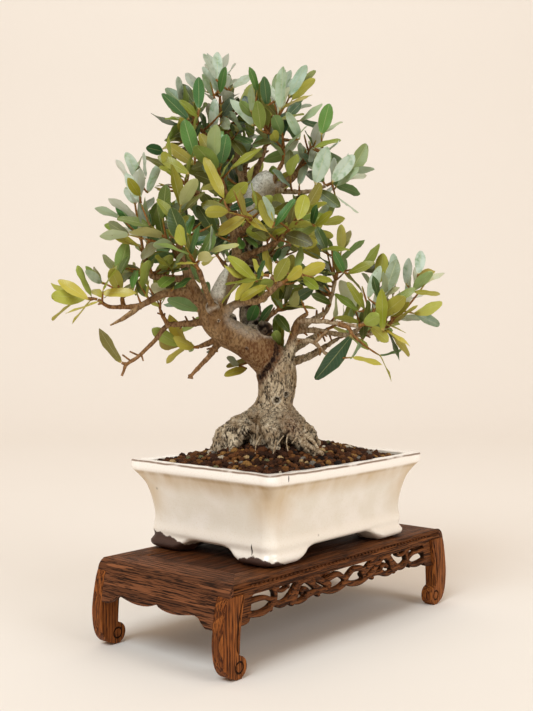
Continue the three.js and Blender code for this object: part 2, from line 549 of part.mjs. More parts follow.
// Each spray: the limb that it ends, two more points of its main shoot in the tree's own directions,
// its leaf pairs, its leaf length, and the tips of its side shoots.
const sprays = {
  spray_apex: ['crownLeft', [-61, 25, 530], [-62, 24, 550], 4, 31, [[-48, 20, 538], [-75, 22, 534]]],
  spray_crown_side: ['crownSide', [-87, 13, 505], [-92, 10, 513], 3, 33, [[-98, 4, 495]]],
  spray_crown_low: ['crownLow', [-90, 1, 482], [-97, -2, 488], 3, 33, []],
  spray_crown_right: ['crownRight', [-6, 40, 504], [11, 42, 534], 3, 35, [[-20, 40, 520], [22, 38, 508]]],
  spray_crown_front: ['crownFront', [5, -2, 480], [-2, -8, 502], 3, 33, [[-26, -10, 502]]],
  spray_crown_back: ['crownBack', [-31, 70, 490], [-30, 76, 508], 3, 34, [[-52, 68, 498]]],
  spray_right_top: ['rightTop', [36, 27, 483], [41, 28, 492], 2, 33, [[44, 17, 472]]],
  spray_right_mid: ['rightMid', [58, 10, 442], [70, 8, 449], 3, 33, [[56, 16, 428]]],
  spray_mid_left: ['midLeft', [-96, -27, 436], [-104, -29, 446], 3, 35, []],
  spray_mid_front: ['midFront', [-60, -20, 446], [-64, -23, 456], 3, 36, []],
  spray_left_outer: ['padLimb', [-140, -17, 398], [-146, -15, 434], 4, 34, [[-158, -20, 402]]],
  spray_left_pad: ['leftArm', [-108, -42, 378], [-124, -48, 390], 3, 34, [[-146, -45, 382], [-112, -54, 396]]],
  spray_left_inner: ['armUp', [-98, -54, 396], [-94, -58, 408], 3, 35, []],
  spray_left_rear: ['padRear', [-116, 4, 380], [-128, 14, 391], 3, 33, [[-108, 12, 394]]],
  spray_far_left: ['farLeft', [-186, -35, 323], [-195, -34, 321], 3, 32, []],
  spray_far_left_up: ['farLeftUp', [-156, -30, 334], [-158, -26, 344], 2, 31, [[-174, -27, 338]]],
  spray_low_left_up: ['lowLeftUp', [-120, -8, 316], [-122, -8, 321], 2, 17, []],
  spray_low_left: ['lowLeaf', [-90, 4, 273], [-101, 6, 276], 3, 33, []],
  spray_centre_low: ['centreLow', [-20, -48, 344], [-31, -49, 341], 3, 33, []],
  spray_centre_right: ['centreRight', [10, -39, 342], [20, -36, 345], 3, 31, []],
  spray_centre_rear: ['innerTwig', [3, -2, 315], [8, -6, 318], 3, 31, []],
  spray_centre_mid: ['centreUp', [12, -33, 392], [22, -36, 402], 3, 34, [[-6, -42, 398]]],
  spray_front_mid: ['frontMid', [-24, -52, 400], [-16, -61, 405], 3, 34, [[-50, -56, 402]]],
  spray_front_left: ['frontLeft', [-82, -84, 356], [-88, -92, 368], 3, 34, [[-66, -90, 362]]],
  spray_right_up: ['rightUp', [60, 13, 356], [62, 14, 372], 3, 33, [[80, 8, 354]]],
  spray_right_low: ['rightLow', [86, -32, 298], [98, -34, 305], 3, 32, [[106, -35, 288]]],
  spray_right_far: ['rightFar', [120, 14, 310], [136, 15, 332], 4, 32, [[114, 10, 328], [136, 10, 308]]],
  spray_right_pad: ['rightPad', [96, -18, 315], [102, -24, 328], 3, 31, []],
  spray_right_rear: ['rightRear', [76, 32, 290], [92, 38, 299], 3, 34, []],
  spray_back_left: ['backLeft', [-72, 96, 380], [-84, 106, 394], 3, 34, [[-62, 108, 386]]],
  spray_back_right: ['backRight', [34, 98, 400], [48, 108, 410], 3, 34, [[24, 112, 396]]],
  spray_back_upper: ['backUpper', [-58, 90, 446], [-62, 98, 462], 3, 34, [[-40, 96, 448]]],
  spray_back_low_left: ['backLowLeft', [-84, 82, 310], [-98, 90, 319], 3, 34, []],
  spray_back_low_right: ['backLowRight', [64, 74, 298], [80, 82, 308], 3, 34, []],
};

// A leaf alone on its limb's end: the limb, the way it points, the way its face looks, its length.
const loneLeaves = {
  leaf_low_left: ['lowLeftSpur', [-0.56, -0.1, 0.82], [-0.5, -0.8, -0.4], 40],
  leaf_hanging: ['hangSpur', [-0.62, 0.1, -0.78], [0.5, -0.85, -0.3], 53],
  leaf_under_left: ['underTwig', [-0.97, 0.1, -0.2], [-0.3, -0.6, 0.7], 29],
};

// Plain vectors as lists, in the tree's own directions.
const plus = (a, b, share = 1) => [a[0] + b[0] * share, a[1] + b[1] * share, a[2] + b[2] * share];
const dot = (a, b) => a[0] * b[0] + a[1] * b[1] + a[2] * b[2];
const unit = (a) => plus([0, 0, 0], a, 1 / Math.sqrt(dot(a, a)));
const cross = (a, b) => [a[1] * b[2] - a[2] * b[1], a[2] * b[0] - a[0] * b[2], a[0] * b[1] - a[1] * b[0]];

function seededRandom(seed) {
  let state = seed;
  return () => {
    state = (Math.imul(state, 1664525) + 1013904223) >>> 0;
    return state / 4294967296;
  };
}

// The shortest distance between two stretches, each given by its two ends.
function stretchDistance([a, b], [c, d]) {
  const [along, other, apart] = [plus(b, a, -1), plus(d, c, -1), plus(a, c, -1)];
  const [aa, bb, ab] = [dot(along, along), dot(other, other), dot(along, other)];
  const [ca, cb] = [dot(along, apart), dot(other, apart)];
  const clamp = (value) => Math.min(1, Math.max(0, value));
  const spread = aa * bb - ab * ab;
  let s = spread > 1e-9 ? clamp((ab * cb - ca * bb) / spread) : 0;
  const t = clamp((ab * s + cb) / bb);
  s = clamp((ab * t - ca) / aa);
  const gap = plus(plus(apart, along, s), other, -t);
  return Math.sqrt(dot(gap, gap));
}

function bezier(points, t) {
  const [a, b, c] = points;
  return plus(plus(plus([0, 0, 0], a, (1 - t) ** 2), b, 2 * t * (1 - t)), c, t * t);
}

function bezierHeading(points, t) {
  const [a, b, c] = points;
  return unit(plus(plus([0, 0, 0], plus(b, a, -1), 1 - t), plus(c, b, -1), t));
}

// Two directions square to a shoot, the first turned round it by the given angle.
function squareTo(along, angle) {
  const level = unit(cross(along, Math.abs(along[2]) < 0.9 ? [0, 0, 1] : [1, 0, 0]));
  const first = plus(plus([0, 0, 0], level, Math.cos(angle)), cross(along, level), Math.sin(angle));
  return [first, cross(along, first)];
}

function outward([first, second], angle) {
  return plus(plus([0, 0, 0], first, Math.cos(angle)), second, Math.sin(angle));
}

const quarter = Math.PI / 2;

// Every shoot: its spray, three points, radii at its ends, leaf pairs and leaf length.
function planShoots() {
  const random = seededRandom(7);
  const shoots = [];
  Object.entries(sprays).forEach(([name, [limb, bend, tip, pairs, length, sideTips]]) => {
    const end = limbs[limb].at(-1);
    const onward = unit(plus(end, limbs[limb].at(-2), -1));
    const way = unit(plus(tip, end, -1));
    const tilt = Math.sqrt(Math.max(0, 1 - dot(onward, way) ** 2));
    const start = plus(end, onward, 1.08 * (seatGap + end[3] * tilt));
    const points = [start, bend, tip];
    const square = squareTo(way, 2 * Math.PI * random());
    shoots.push({ name, points, square, radii: [end[3], 1.2], pairs, length, steps: 2 });
    sideTips.forEach((sideTip, i) => {
      const from = bezier(points, 0.25 + 0.25 * i);
      const half = plus(plus([0, 0, 0], from, 0.5), sideTip, 0.5);
      shoots.push({ name, points: [from, half, sideTip], square: squareTo(unit(plus(sideTip, from, -1)), 0),
        radii: [1.4, 1.1], pairs: 2, length: length * 0.92, steps: 1 });
    });
  });
  return shoots;
}

// Three lines along a leaf, by which it is kept clear of the others.
function leafLines({ base, heading, face, length, width, bow }) {
  const acrossLeaf = cross(face, heading);
  const at = (share, side) => {
    const half = (width / 2) * Math.sin(Math.PI * Math.min(1, share * 0.92 + 0.04)) ** 0.7;
    const point = plus(plus(base, heading, length * share), face, -bow * share * share);
    return plus(point, acrossLeaf, side * half);
  };
  const shares = [0.16, 0.45, 0.75, 1];
  const lines = [];
  [-1, 0, 1].forEach((side) => {
    for (let i = 0; i < 3; i += 1) lines.push([at(shares[i], side), at(shares[i + 1], side)]);
  });
  return lines;
}

function planLoneLeaves() {
  return Object.entries(loneLeaves).map(([name, [limb, heading, look, length]]) => {
    const end = limbs[limb].at(-1);
    const onward = unit(plus(end, limbs[limb].at(-2), -1));
    const way = unit(heading);
    const face = unit(plus(look, way, -dot(look, way)));
    const leafHere = { name, base: plus(end, onward, 1.6 * seatGap), heading: way, face, length,
      width: 0.37 * length, bow: 0.06 * length };
    return { ...leafHere, lines: leafLines(leafHere) };
  });
}

function planLeaves(shoots) {
  const random = seededRandom(23);
  const wood = Object.values(limbs).flatMap((points) => points.slice(1).map((point, i) => (
    { ends: [points[i], point], radius: Math.max(points[i][3], point[3]), shoot: null })));
  shoots.forEach((shoot) => {
    for (let i = 0; i < 4; i += 1) {
      const ends = [bezier(shoot.points, i / 4), bezier(shoot.points, (i + 1) / 4)];
      wood.push({ ends, radius: shoot.radii[0], shoot });
    }
  });
  const leaves = planLoneLeaves();
  const isClear = (candidate) => {
    const middle = plus(candidate.base, candidate.heading, candidate.length / 2);
    const near = (point, reach) => {
      const apart = plus(point, middle, -1);
      return dot(apart, apart) < (reach + candidate.length * 0.6) ** 2;
    };
    const touches = (lines, limit) => lines.some((line) => candidate.lines.some((own) => (
      stretchDistance(line, own) < limit)));
    const inWood = wood.some(({ ends, radius, shoot }) => {
      if (shoot === candidate.shoot) return false;
      const length = Math.sqrt(dot(plus(ends[1], ends[0], -1), plus(ends[1], ends[0], -1)));
      if (!near(plus(plus([0, 0, 0], ends[0], 0.5), ends[1], 0.5), length / 2 + radius)) return false;
      return touches([ends], radius + 1.3);
    });
    if (inWood) return false;
    return !leaves.some((other) => {
      const otherMiddle = plus(other.base, other.heading, other.length / 2);
      if (!near(otherMiddle, other.length * 0.6)) return false;
      const limit = other.shoot === candidate.shoot ? 1 : Math.max(other.width, candidate.width) / 4 + 0.9;
      return touches(other.lines, limit);
    });
  };
  const tries = [[0, 1, 1], [0.6, 1, 1], [-0.6, 1, 1], [0, 0.6, 1], [1.2, 1, 0.9], [-1.2, 1, 0.9],
    [0, 0.5, 0.75], [0.6, 0.7, 0.75]]; // turn round the twig, share of the spread, share of the length
  const grow = (shoot, t, angle, spread, draws) => tries.some(([turn, openness, share]) => {
    const along = bezierHeading(shoot.points, t);
    const out = outward(shoot.square, angle + turn);
    const lean = spread * openness;
    const lifted = plus(plus(plus([0, 0, 0], along, Math.cos(lean)), out, Math.sin(lean)), [0, 0, 0.12]);
    const heading = unit(lifted);
    const flat = unit(plus(along, heading, -dot(along, heading)));
    const twist = 0.9 * (draws[1] - 0.5);
    const face = unit(plus(plus([0, 0, 0], flat, Math.cos(twist)), cross(heading, flat), Math.sin(twist)));
    const length = shoot.length * share * (0.82 + 0.36 * draws[2]);
    const width = length * (0.37 + 0.1 * draws[3]);
    const bow = length * (0.16 * draws[4] - 0.02);
    const candidate = { shoot, base: bezier(shoot.points, t), heading, face, length, width, bow };
    candidate.lines = leafLines(candidate);
    if (!isClear(candidate)) return false;
    leaves.push(candidate);
    return true;
  });
  shoots.forEach((shoot) => {
    for (let k = 0; k < shoot.pairs; k += 1) {
      const t = 0.24 + (0.73 * k) / (shoot.pairs - 1);
      for (let side = 0; side < 2; side += 1) {
        const draws = [random(), random(), random(), random(), random()];
        const angle = quarter * (k + 0.5 + 2 * side) + 0.4 * (draws[0] - 0.5);
        grow(shoot, t, angle, 1.15 - 0.62 * t, draws);
      }
    }
  });
  return leaves;
}

// A square twig with flat sides, which the leaves grow out of.
function shootGeometry({ points, square, radii, steps }) {
  const profile = [[0, 0]];
  for (let i = 0; i <= steps; i += 1) profile.push([THREE.MathUtils.lerp(...radii, i / steps), i]);
  profile.push([0, steps]);
  const turned = new THREE.LatheGeometry(profile.map(([x, y]) => new THREE.Vector2(x, y)), 4);
  return bent(turned, (point) => {
    const at = bezier(points, point.y / steps);
    point.copy(placed(plus(plus(at, square[0], point.z), square[1], point.x)));
  });
}

// A leaf blade, flat above and keeled below: distance along it and half width there, as shares.
const bladeRings = [[0, 0], [0.34, 0.47], [0.74, 0.43], [1, 0]];
const turnedWidth = Math.sqrt(3) / 2; // of half a three-sided turned blade of radius 1

function leafGeometry({ base, heading, face, length, width, bow }) {
  const profile = bladeRings.map(([, half], i) => new THREE.Vector2(half > 0 ? 1 : 0, i));
  const acrossLeaf = cross(face, heading);
  return bent(new THREE.LatheGeometry(profile, 3), (point) => {
    const [share, half] = bladeRings[Math.round(point.y)];
    const side = (point.x / turnedWidth) * half * width;
    const lift = (point.z > 0.5 ? -leaf.keel : 0) - bow * share * share;
    point.copy(placed(plus(plus(plus(base, heading, length * share), face, lift), acrossLeaf, side)));
  });
}

function makeSprays() {
  const group = new THREE.Group();
  const shoots = planShoots();
  const leaves = planLeaves(shoots);
  Object.keys(sprays).forEach((name) => {
    const pieces = [];
    shoots.filter((shoot) => shoot.name === name).forEach((one) => pieces.push(shootGeometry(one)));
    leaves.filter(({ shoot }) => shoot?.name === name).forEach((one) => pieces.push(leafGeometry(one)));
    addPiece(group, name, toGeometry(joined(pieces)), finish.foliage);
  });
  leaves.filter(({ name }) => name).forEach((one) => addPiece(group, one.name, leafGeometry(one), finish.foliage));
  return group;
}

// ---- the whole part --------------------------------------------------------------------------

const part = new THREE.Group();
part.add(makeStand(), makePotAndSoil());
addPiece(part, 'trunk_and_branches', makeWood(), finish.bark);
part.add(makeSprays());

const box = new THREE.Box3().setFromObject(part);
const middle = box.getCenter(new THREE.Vector3());
part.position.set(-middle.x, -middle.y, -box.min.z);

export default part;
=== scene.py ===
# An olive bonsai in a cream glazed pot on a carved stand, dressed over its fixed frame.
import math

import bmesh
import bpy
import numpy as np
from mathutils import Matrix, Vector, noise


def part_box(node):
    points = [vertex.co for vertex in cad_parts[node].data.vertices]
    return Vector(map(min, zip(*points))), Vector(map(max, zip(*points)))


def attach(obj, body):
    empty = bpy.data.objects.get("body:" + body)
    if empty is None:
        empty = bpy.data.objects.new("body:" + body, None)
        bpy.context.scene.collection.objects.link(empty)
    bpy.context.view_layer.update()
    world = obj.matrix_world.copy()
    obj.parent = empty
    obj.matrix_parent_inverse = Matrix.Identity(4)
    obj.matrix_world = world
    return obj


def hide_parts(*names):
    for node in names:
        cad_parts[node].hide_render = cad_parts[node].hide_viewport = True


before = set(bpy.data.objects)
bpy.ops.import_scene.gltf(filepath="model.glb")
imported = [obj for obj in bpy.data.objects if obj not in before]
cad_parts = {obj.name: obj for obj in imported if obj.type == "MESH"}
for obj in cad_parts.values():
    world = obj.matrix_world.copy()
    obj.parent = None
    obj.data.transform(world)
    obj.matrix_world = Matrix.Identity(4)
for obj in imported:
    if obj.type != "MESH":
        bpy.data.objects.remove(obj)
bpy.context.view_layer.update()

mm = 0.001
panelLow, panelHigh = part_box("stand_top_panel")
standCentre = np.array([(panelLow.x + panelHigh.x) / 2, (panelLow.y + panelHigh.y) / 2, 0.0])

tree = {"turn": math.radians(49.2)}  # the tree's broad side is turned away from the stand's
seatGap = 0.3


def tint(code):
    # a colour such as "8a5a3a" as linear red, green, blue and alpha
    parts = [int(code[i:i + 2], 16) / 255 for i in (0, 2, 4)]
    return (*[p / 12.92 if p < 0.04045 else ((p + 0.055) / 1.055) ** 2.4 for p in parts], 1.0)


def grey(level):
    return level, level, level, 1


def smoothStep(low, high, value):
    share = np.clip((np.asarray(value, float) - low) / (high - low), 0, 1)
    return share * share * (3 - 2 * share)


def curveThrough(points, count, centripetal=True):
    # a Catmull-Rom curve through rows whose first columns are a place; further columns go along
    rows = np.array(points, float)
    rows = np.vstack([2 * rows[0] - rows[1], rows, 2 * rows[-1] - rows[-2]])
    width = min(3, rows.shape[1])
    made = []
    for t in np.linspace(0, len(rows) - 3 - 1e-9, count):
        i = int(t)
        p = rows[i:i + 4]
        knots = [0.0]
        for a, b in zip(p[:-1], p[1:]):
            reach = math.sqrt(sum((b[:width] - a[:width]) ** 2))
            knots.append(knots[-1] + (max(reach, 1e-6) ** 0.5 if centripetal else 1.0))
        at = knots[1] + (t - i) * (knots[2] - knots[1])

        def mixed(a, b, low, high):
            return a * (high - at) / (high - low) + b * (at - low) / (high - low)

        a1 = mixed(p[0], p[1], knots[0], knots[1])
        a2 = mixed(p[1], p[2], knots[1], knots[2])
        a3 = mixed(p[2], p[3], knots[2], knots[3])
        b1 = mixed(a1, a2, knots[0], knots[2])
        b2 = mixed(a2, a3, knots[1], knots[3])
        made.append(mixed(b1, b2, knots[1], knots[2]))
    return np.array(made)


def gridFaces(rings, columns, first=0, closed=True):
    faces = []
    for r in range(rings - 1):
        for c in range(columns if closed else columns - 1):
            n = (c + 1) % columns
            a, b = first + r * columns, first + (r + 1) * columns
            faces.append((a + c, a + n, b + n, b + c))
    return faces


def tubeFaces(rings, columns):
    # the sides of a tube of rings and its two ends
    return gridFaces(rings, columns) + [
        tuple(range(columns - 1, -1, -1)), tuple((rings - 1) * columns + i for i in range(columns))]


def linked(name, data):
    made = bpy.data.objects.new(name, data)
    bpy.context.collection.objects.link(made)
    return made


def aimed(made, ahead):
    made.rotation_mode = "QUATERNION"
    made.rotation_quaternion = ahead.to_track_quat("-Z", "Y")
    return made


def newPiece(name, points, edges=(), faces=()):
    mesh = bpy.data.meshes.new(name)
    mesh.from_pydata(points, edges, faces)
    return linked(name, mesh)


def keepValues(piece, name, values):
    # stores a number or a vector at each point of a piece
    vectors = np.ndim(values) == 2
    kept = piece.data.attributes.new(name, "FLOAT_VECTOR" if vectors else "FLOAT", "POINT").data
    kept.foreach_set("vector" if vectors else "value", np.asarray(values, np.float32).ravel())


def vertexRows(rows, name):
    values = np.zeros(len(rows) * 3, np.float32)
    rows.foreach_get(name, values)
    return values.reshape(-1, 3).astype(float)


def vertexPlaces(piece):
    return vertexRows(piece.data.vertices, "co")


def vertexNormals(piece):
    return vertexRows(piece.data.vertex_normals, "vector")


def setPlaces(piece, places):
    piece.data.vertices.foreach_set("co", places.astype(np.float32).ravel())
    piece.data.update()


class Body:
    # points in millimetres round the stand's middle, faces, and a value or more at each point
    def __init__(self, *names):
        self.points, self.faces, self.count = [], [], 0
        self.values = {name: [] for name in names}

    def add(self, points, faces, **values):
        points = np.asarray(points, float).reshape(-1, 3)
        self.points.append(points)
        self.faces += [tuple(self.count + i for i in face) for face in faces]
        self.count += len(points)
        for name, rows in self.values.items():
            rows.append(np.broadcast_to(np.asarray(values.get(name, 0.0), float), (len(points),)))

    def build(self, name, outward=True):
        piece = newPiece(name, (np.vstack(self.points) * mm + standCentre).tolist(), faces=self.faces)
        for key, rows in self.values.items():
            keepValues(piece, key, np.concatenate(rows))
        if outward:
            shell = bmesh.new()
            shell.from_mesh(piece.data)
            bmesh.ops.recalc_face_normals(shell, faces=shell.faces)
            shell.to_mesh(piece.data)
            shell.free()
        return piece


def settle(piece):
    # what the modifiers make becomes the mesh, and the modifiers go
    made = bpy.data.meshes.new_from_object(piece.evaluated_get(bpy.context.evaluated_depsgraph_get()))
    piece.modifiers.clear()
    old, piece.data = piece.data, made
    name = old.name
    bpy.data.meshes.remove(old)
    made.name = name
    return piece


def soften(piece, angle=None):
    piece.data.shade_smooth()
    if angle:
        piece.data.set_sharp_from_angle(angle=math.radians(angle))


def bevelled(piece, width, segments=2, angle=34):
    bevel = piece.modifiers.new("edges", "BEVEL")
    bevel.width, bevel.segments = width * mm, segments
    bevel.limit_method, bevel.angle_limit = "ANGLE", math.radians(angle)
    bevel.miter_outer = "MITER_ARC"
    return settle(piece)


def remeshed(piece, voxel):
    remesh = piece.modifiers.new("oneBody", "REMESH")
    remesh.mode, remesh.voxel_size = "VOXEL", voxel * mm
    return settle(piece)


def relaxed(piece, times):
    smooth = piece.modifiers.new("smooth", "SMOOTH")
    smooth.factor, smooth.iterations = 0.5, times
    return settle(piece)


def carved(piece, cutter):
    cut = piece.modifiers.new("cut", "BOOLEAN")
    cut.operation, cut.object, cut.solver = "DIFFERENCE", cutter, "EXACT"
    settle(piece)
    bpy.data.objects.remove(cutter)
    return piece


def finished(piece, material, slot, *nodes):
    piece.data.materials.clear()
    piece.data.materials.append(material)
    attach(piece, "root")
    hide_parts(*nodes)
    return piece


def sweep(line, radii, sides, squash=1.0):
    # a closed tapered tube along a line, with frames that turn as little as they can
    line = np.asarray(line, float)
    along = np.gradient(line, axis=0)
    along /= np.linalg.norm(along, axis=1)[:, None] + 1e-12
    right = np.cross(along[0], [0, 0, 1.0] if abs(along[0][2]) < 0.9 else [1.0, 0, 0])
    angles = np.linspace(0, 2 * math.pi, sides, endpoint=False)
    points = []
    for at, heading, radius in zip(line, along, radii):
        right = right - heading * np.dot(right, heading)
        right /= np.linalg.norm(right)
        other = np.cross(heading, right)
        points.append(at + radius * (np.cos(angles)[:, None] * right
                                     + squash * np.sin(angles)[:, None] * other))
    return np.vstack(points), tubeFaces(len(line), sides)


def randomBy(seed):
    state = [seed]

    def draw():
        state[0] = (state[0] * 1664525 + 1013904223) & 0xFFFFFFFF
        return state[0] / 4294967296

    return draw


def grown(piece, group, inputs):
    # runs a tree on a piece with the given inputs, and keeps what it makes as the piece's mesh
    modifier = piece.modifiers.new(group.name, "NODES")
    modifier.node_group = group
    for item in group.interface.items_tree:
        if item.in_out == "INPUT" and item.name in inputs:
            modifier[item.identifier] = inputs[item.name]
    return settle(piece)


view = {"place": (-767.3, -640.0, 283.7), "heading": 49.23, "pitch": -1.02, "lens": 50.84,
        "reach": 1004, "aim": (-14.5, 265.5), "fall": -0.018}


def makeCamera():
    camera = linked("viewCamera", bpy.data.cameras.new("viewCamera"))
    camera.location = Vector(np.array(view["place"]) * mm + standCentre)
    yaw, pitch = math.radians(view["heading"]), math.radians(view["pitch"])
    aimed(camera, Vector((math.sin(yaw) * math.cos(pitch), math.cos(yaw) * math.cos(pitch), math.sin(pitch))))
    camera.data.lens, camera.data.sensor_width = view["lens"], 36
    camera.data.clip_start, camera.data.clip_end = 0.01, 50
    bpy.context.scene.camera = camera


building = {}  # the node tree that nodes are being added to


class Wire:
    # an output of a node, which sums can be written with; its node's other outputs go by their names
    def __init__(self, node, socket=0):
        self.node, self.socket = node, node.outputs[socket]

    def __getitem__(self, name):
        return Wire(self.node, name)

    def __add__(self, other):
        return compute("ADD", self, other)

    def __radd__(self, other):
        return compute("ADD", other, self)

    def __sub__(self, other):
        return compute("SUBTRACT", self, other)

    def __rsub__(self, other):
        return compute("SUBTRACT", other, self)

    def __mul__(self, other):
        return compute("MULTIPLY", self, other)

    def __truediv__(self, other):
        return compute("DIVIDE", self, other)


def feed(socket, value):
    # links another node's output, or sets a plain value
    if isinstance(value, Wire):
        socket.id_data.links.new(value.socket, socket)
    else:
        socket.default_value = tint(value) if socket.type == "RGBA" and isinstance(value, str) else value


def put(kind, inputs=None, **more):
    # adds a node by the last part of its type's name; settings and inputs go by their names
    families = ("ShaderNode", "GeometryNode", "FunctionNode")
    node = building["tree"].nodes.new(next(f + kind for f in families if hasattr(bpy.types, f + kind)))
    for name in [name for name in more if hasattr(node, name)]:
        setattr(node, name, more.pop(name))
    for name, value in {**(inputs or {}), **more}.items():
        feed(node.inputs[name], value)
    return Wire(node)


def compute(operation, first, second=0.5, clamp=False):
    return put("Math", {0: first, 1: second}, operation=operation, use_clamp=clamp)


def blend(factor, first, second, mode="MIX"):
    return put("Mix", {0: factor, 6: first, 7: second}, data_type="RGBA", blend_type=mode)[2]


def ramp(factor, stops, steps="LINEAR"):
    made = put("ValToRGB", Fac=factor)
    made.node.color_ramp.interpolation = steps
    marks = made.node.color_ramp.elements
    while len(marks) < len(stops):
        marks.new(0.5)
    for mark, (place, colour) in zip(marks, stops):
        mark.position = place
        mark.color = tint(colour) if isinstance(colour, str) else grey(colour)
    return made


def between(value, low, high):
    return put("MapRange", {"From Min": low, "From Max": high}, Value=value, interpolation_type="SMOOTHSTEP")


def stretched(vector, scale=(1, 1, 1), turn=(0, 0, 0), shift=(0, 0, 0)):
    return put("Mapping", Vector=vector, Location=shift, Scale=scale,
               Rotation=[math.radians(a) for a in turn])


def clouded(vector, scale, detail, **more):
    return put("TexNoise", Vector=vector, Scale=scale, Detail=detail, **more)


def spotted(vector, scale, amount, uneven):
    return put("Group", node_tree=groups["spots"], Vector=vector, Scale=scale, Amount=amount, Uneven=uneven)


def attribute(name):
    return put("Attribute", attribute_name=name)["Fac"]


def bump(height, depth, strength):
    return put("Bump", Height=height, Distance=depth * mm, Strength=strength)


def newTree(name, kind, inputs, outputs):
    # a node group; an input is given by its start value, or by its kind where it has none
    tree = building["tree"] = bpy.data.node_groups.new(name, kind + "NodeTree")
    kinds = {float: "Float", int: "Int", bpy.types.Material: "Material"}
    for label, start in inputs.items():
        socket = tree.interface.new_socket(label, in_out="INPUT",
                                           socket_type="NodeSocket" + kinds.get(type(start), str(start)))
        if isinstance(start, (int, float)):
            socket.default_value = start
    for label, kind in outputs.items():
        tree.interface.new_socket(label, in_out="OUTPUT", socket_type="NodeSocket" + kind)
    return tree, Wire(tree.nodes.new("NodeGroupInput")), tree.nodes.new("NodeGroupOutput").inputs


def newGrowth(name, inputs):
    # a Geometry Nodes tree that works on a piece's mesh
    return newTree(name, "Geometry", {"Geometry": "Geometry", **inputs}, {"Geometry": "Geometry"})


def endGrowth(result, geometry, finish):
    feed(result["Geometry"], put("SetMaterial", Geometry=geometry, Material=finish))


def joinedParts(parts):
    made = put("JoinGeometry")
    for part in parts:
        feed(made.node.inputs[0], part)
    return made


def stored(geometry, name, value, domain="POINT"):
    return put("StoreNamedAttribute", Geometry=geometry, Name=name, Value=value, data_type="FLOAT",
               domain=domain)


def roundLump():
    # a small ball, and the place of each of its points
    cube = put("MeshCube", {"Vertices X": 3, "Vertices Y": 3, "Vertices Z": 3}, Size=(2, 2, 2))
    place = put("InputPosition")
    ball = put("VectorMath", {0: place}, operation="NORMALIZE")
    return put("SetPosition", Geometry=cube, Position=ball), place


def newMaterial(name):
    material = bpy.data.materials.new(name)
    material.use_nodes = True
    building["tree"] = material.node_tree
    return material, material.node_tree.nodes["Principled BSDF"].inputs, put("TexCoord")["Object"]


def dress(shader, colour, roughness, normal, **constants):
    for name, value in {"Base Color": colour, "Roughness": roughness, "Normal": normal, **constants}.items():
        feed(shader[name], value)


def makeSpots():
    # scattered spots or pits of uneven size: 1 in their middle, 0 between them
    tree, given, result = newTree("scatteredSpots", "Shader", {
        "Vector": "Vector", "Scale": 400.0, "Amount": 0.3, "Uneven": 0.5}, {"Mask": "Float"})
    warp = clouded(given["Vector"], given["Scale"], 2.0)
    shaken = put("VectorMath", {0: warp["Color"], 1: (0.0016, 0.0016, 0.0016)}, operation="MULTIPLY")
    moved = put("VectorMath", {0: given["Vector"], 1: shaken}, operation="ADD")
    cells = put("TexVoronoi", Vector=moved, Scale=given["Scale"])
    sizes = put("SeparateColor", Color=cells["Color"])
    limit = given["Amount"] + (sizes - 0.5) * given["Uneven"]
    feed(result["Mask"], between(limit - cells, -0.04, 0.12))
    return tree


def makeGrain():
    # wood with its grain along the vector's X: growth rings, long fibres and open pores
    tree, given, result = newTree("woodGrain", "Shader",
                                  {"Vector": "Vector", "Ring Scale": 60.0, "Wander": 3.0},
                                  {"Ring": "Float", "Fibre": "Float", "Pore": "Float"})
    rings = put("TexWave", {"Detail Scale": 0.6, "Detail Roughness": 0.6},
                Vector=stretched(given["Vector"], (0.16, 1, 1)), Scale=given["Ring Scale"],
                Distortion=given["Wander"], Detail=3.0, wave_type="RINGS", rings_direction="X",
                wave_profile="SAW")
    fibre = clouded(stretched(given["Vector"], (0.035, 1, 1)), 800.0, 3.0, Roughness=0.7)
    pores = put("TexVoronoi", Vector=stretched(given["Vector"], (0.06, 1, 1)), Scale=860.0, Randomness=1.0)
    feed(result["Ring"], rings["Fac"])
    feed(result["Fibre"], fibre)
    feed(result["Pore"], between(0.36 - pores, 0.0, 0.14) * (rings["Fac"] * 0.6 + 0.4))
    return tree


grainAlong = {"x": (0, 0, 0), "y": (0, 0, -90), "z": (0, 90, 0)}


def woodMaterial(name, along, look):
    material, shader, place = newMaterial(name)
    turned = stretched(stretched(place, shift=-standCentre), turn=grainAlong[along])
    grain = put("Group", {"Ring Scale": look["rings"]}, node_tree=groups["grain"],
                Vector=stretched(turned, shift=look["pith"]), Wander=look["wander"])
    patches = clouded(stretched(turned, (0.3, 1, 1)), 28.0, 3.0)
    colour = ramp(grain["Ring"], [(0.0, look["light"]), (0.6, look["mid"]), (1.0, look["dark"])])
    colour = blend(0.45, colour, blend(between(patches, 0.3, 0.7), look["mid"], look["light"]))
    colour = blend(between(grain["Fibre"], 0.48, 0.58) * 0.95, colour, look["dark"])
    colour = blend(grain["Pore"] * 0.9, colour, look["pore"])
    # painted shade: the insides of carved lines and the fretwork's side and downward faces are darkened
    colour = blend(attribute("paintedShade") * 0.85, colour, look["pore"])
    rough = ramp(grain["Fibre"], [(0.2, look["gloss"] + 0.08), (0.8, look["gloss"] + 0.3)])
    height = grain["Fibre"] * 0.5 - grain["Pore"] - grain["Ring"] * 0.35
    dress(shader, colour, rough, bump(height, look["relief"], 0.7), **{"Specular IOR Level": 0.12})
    return material


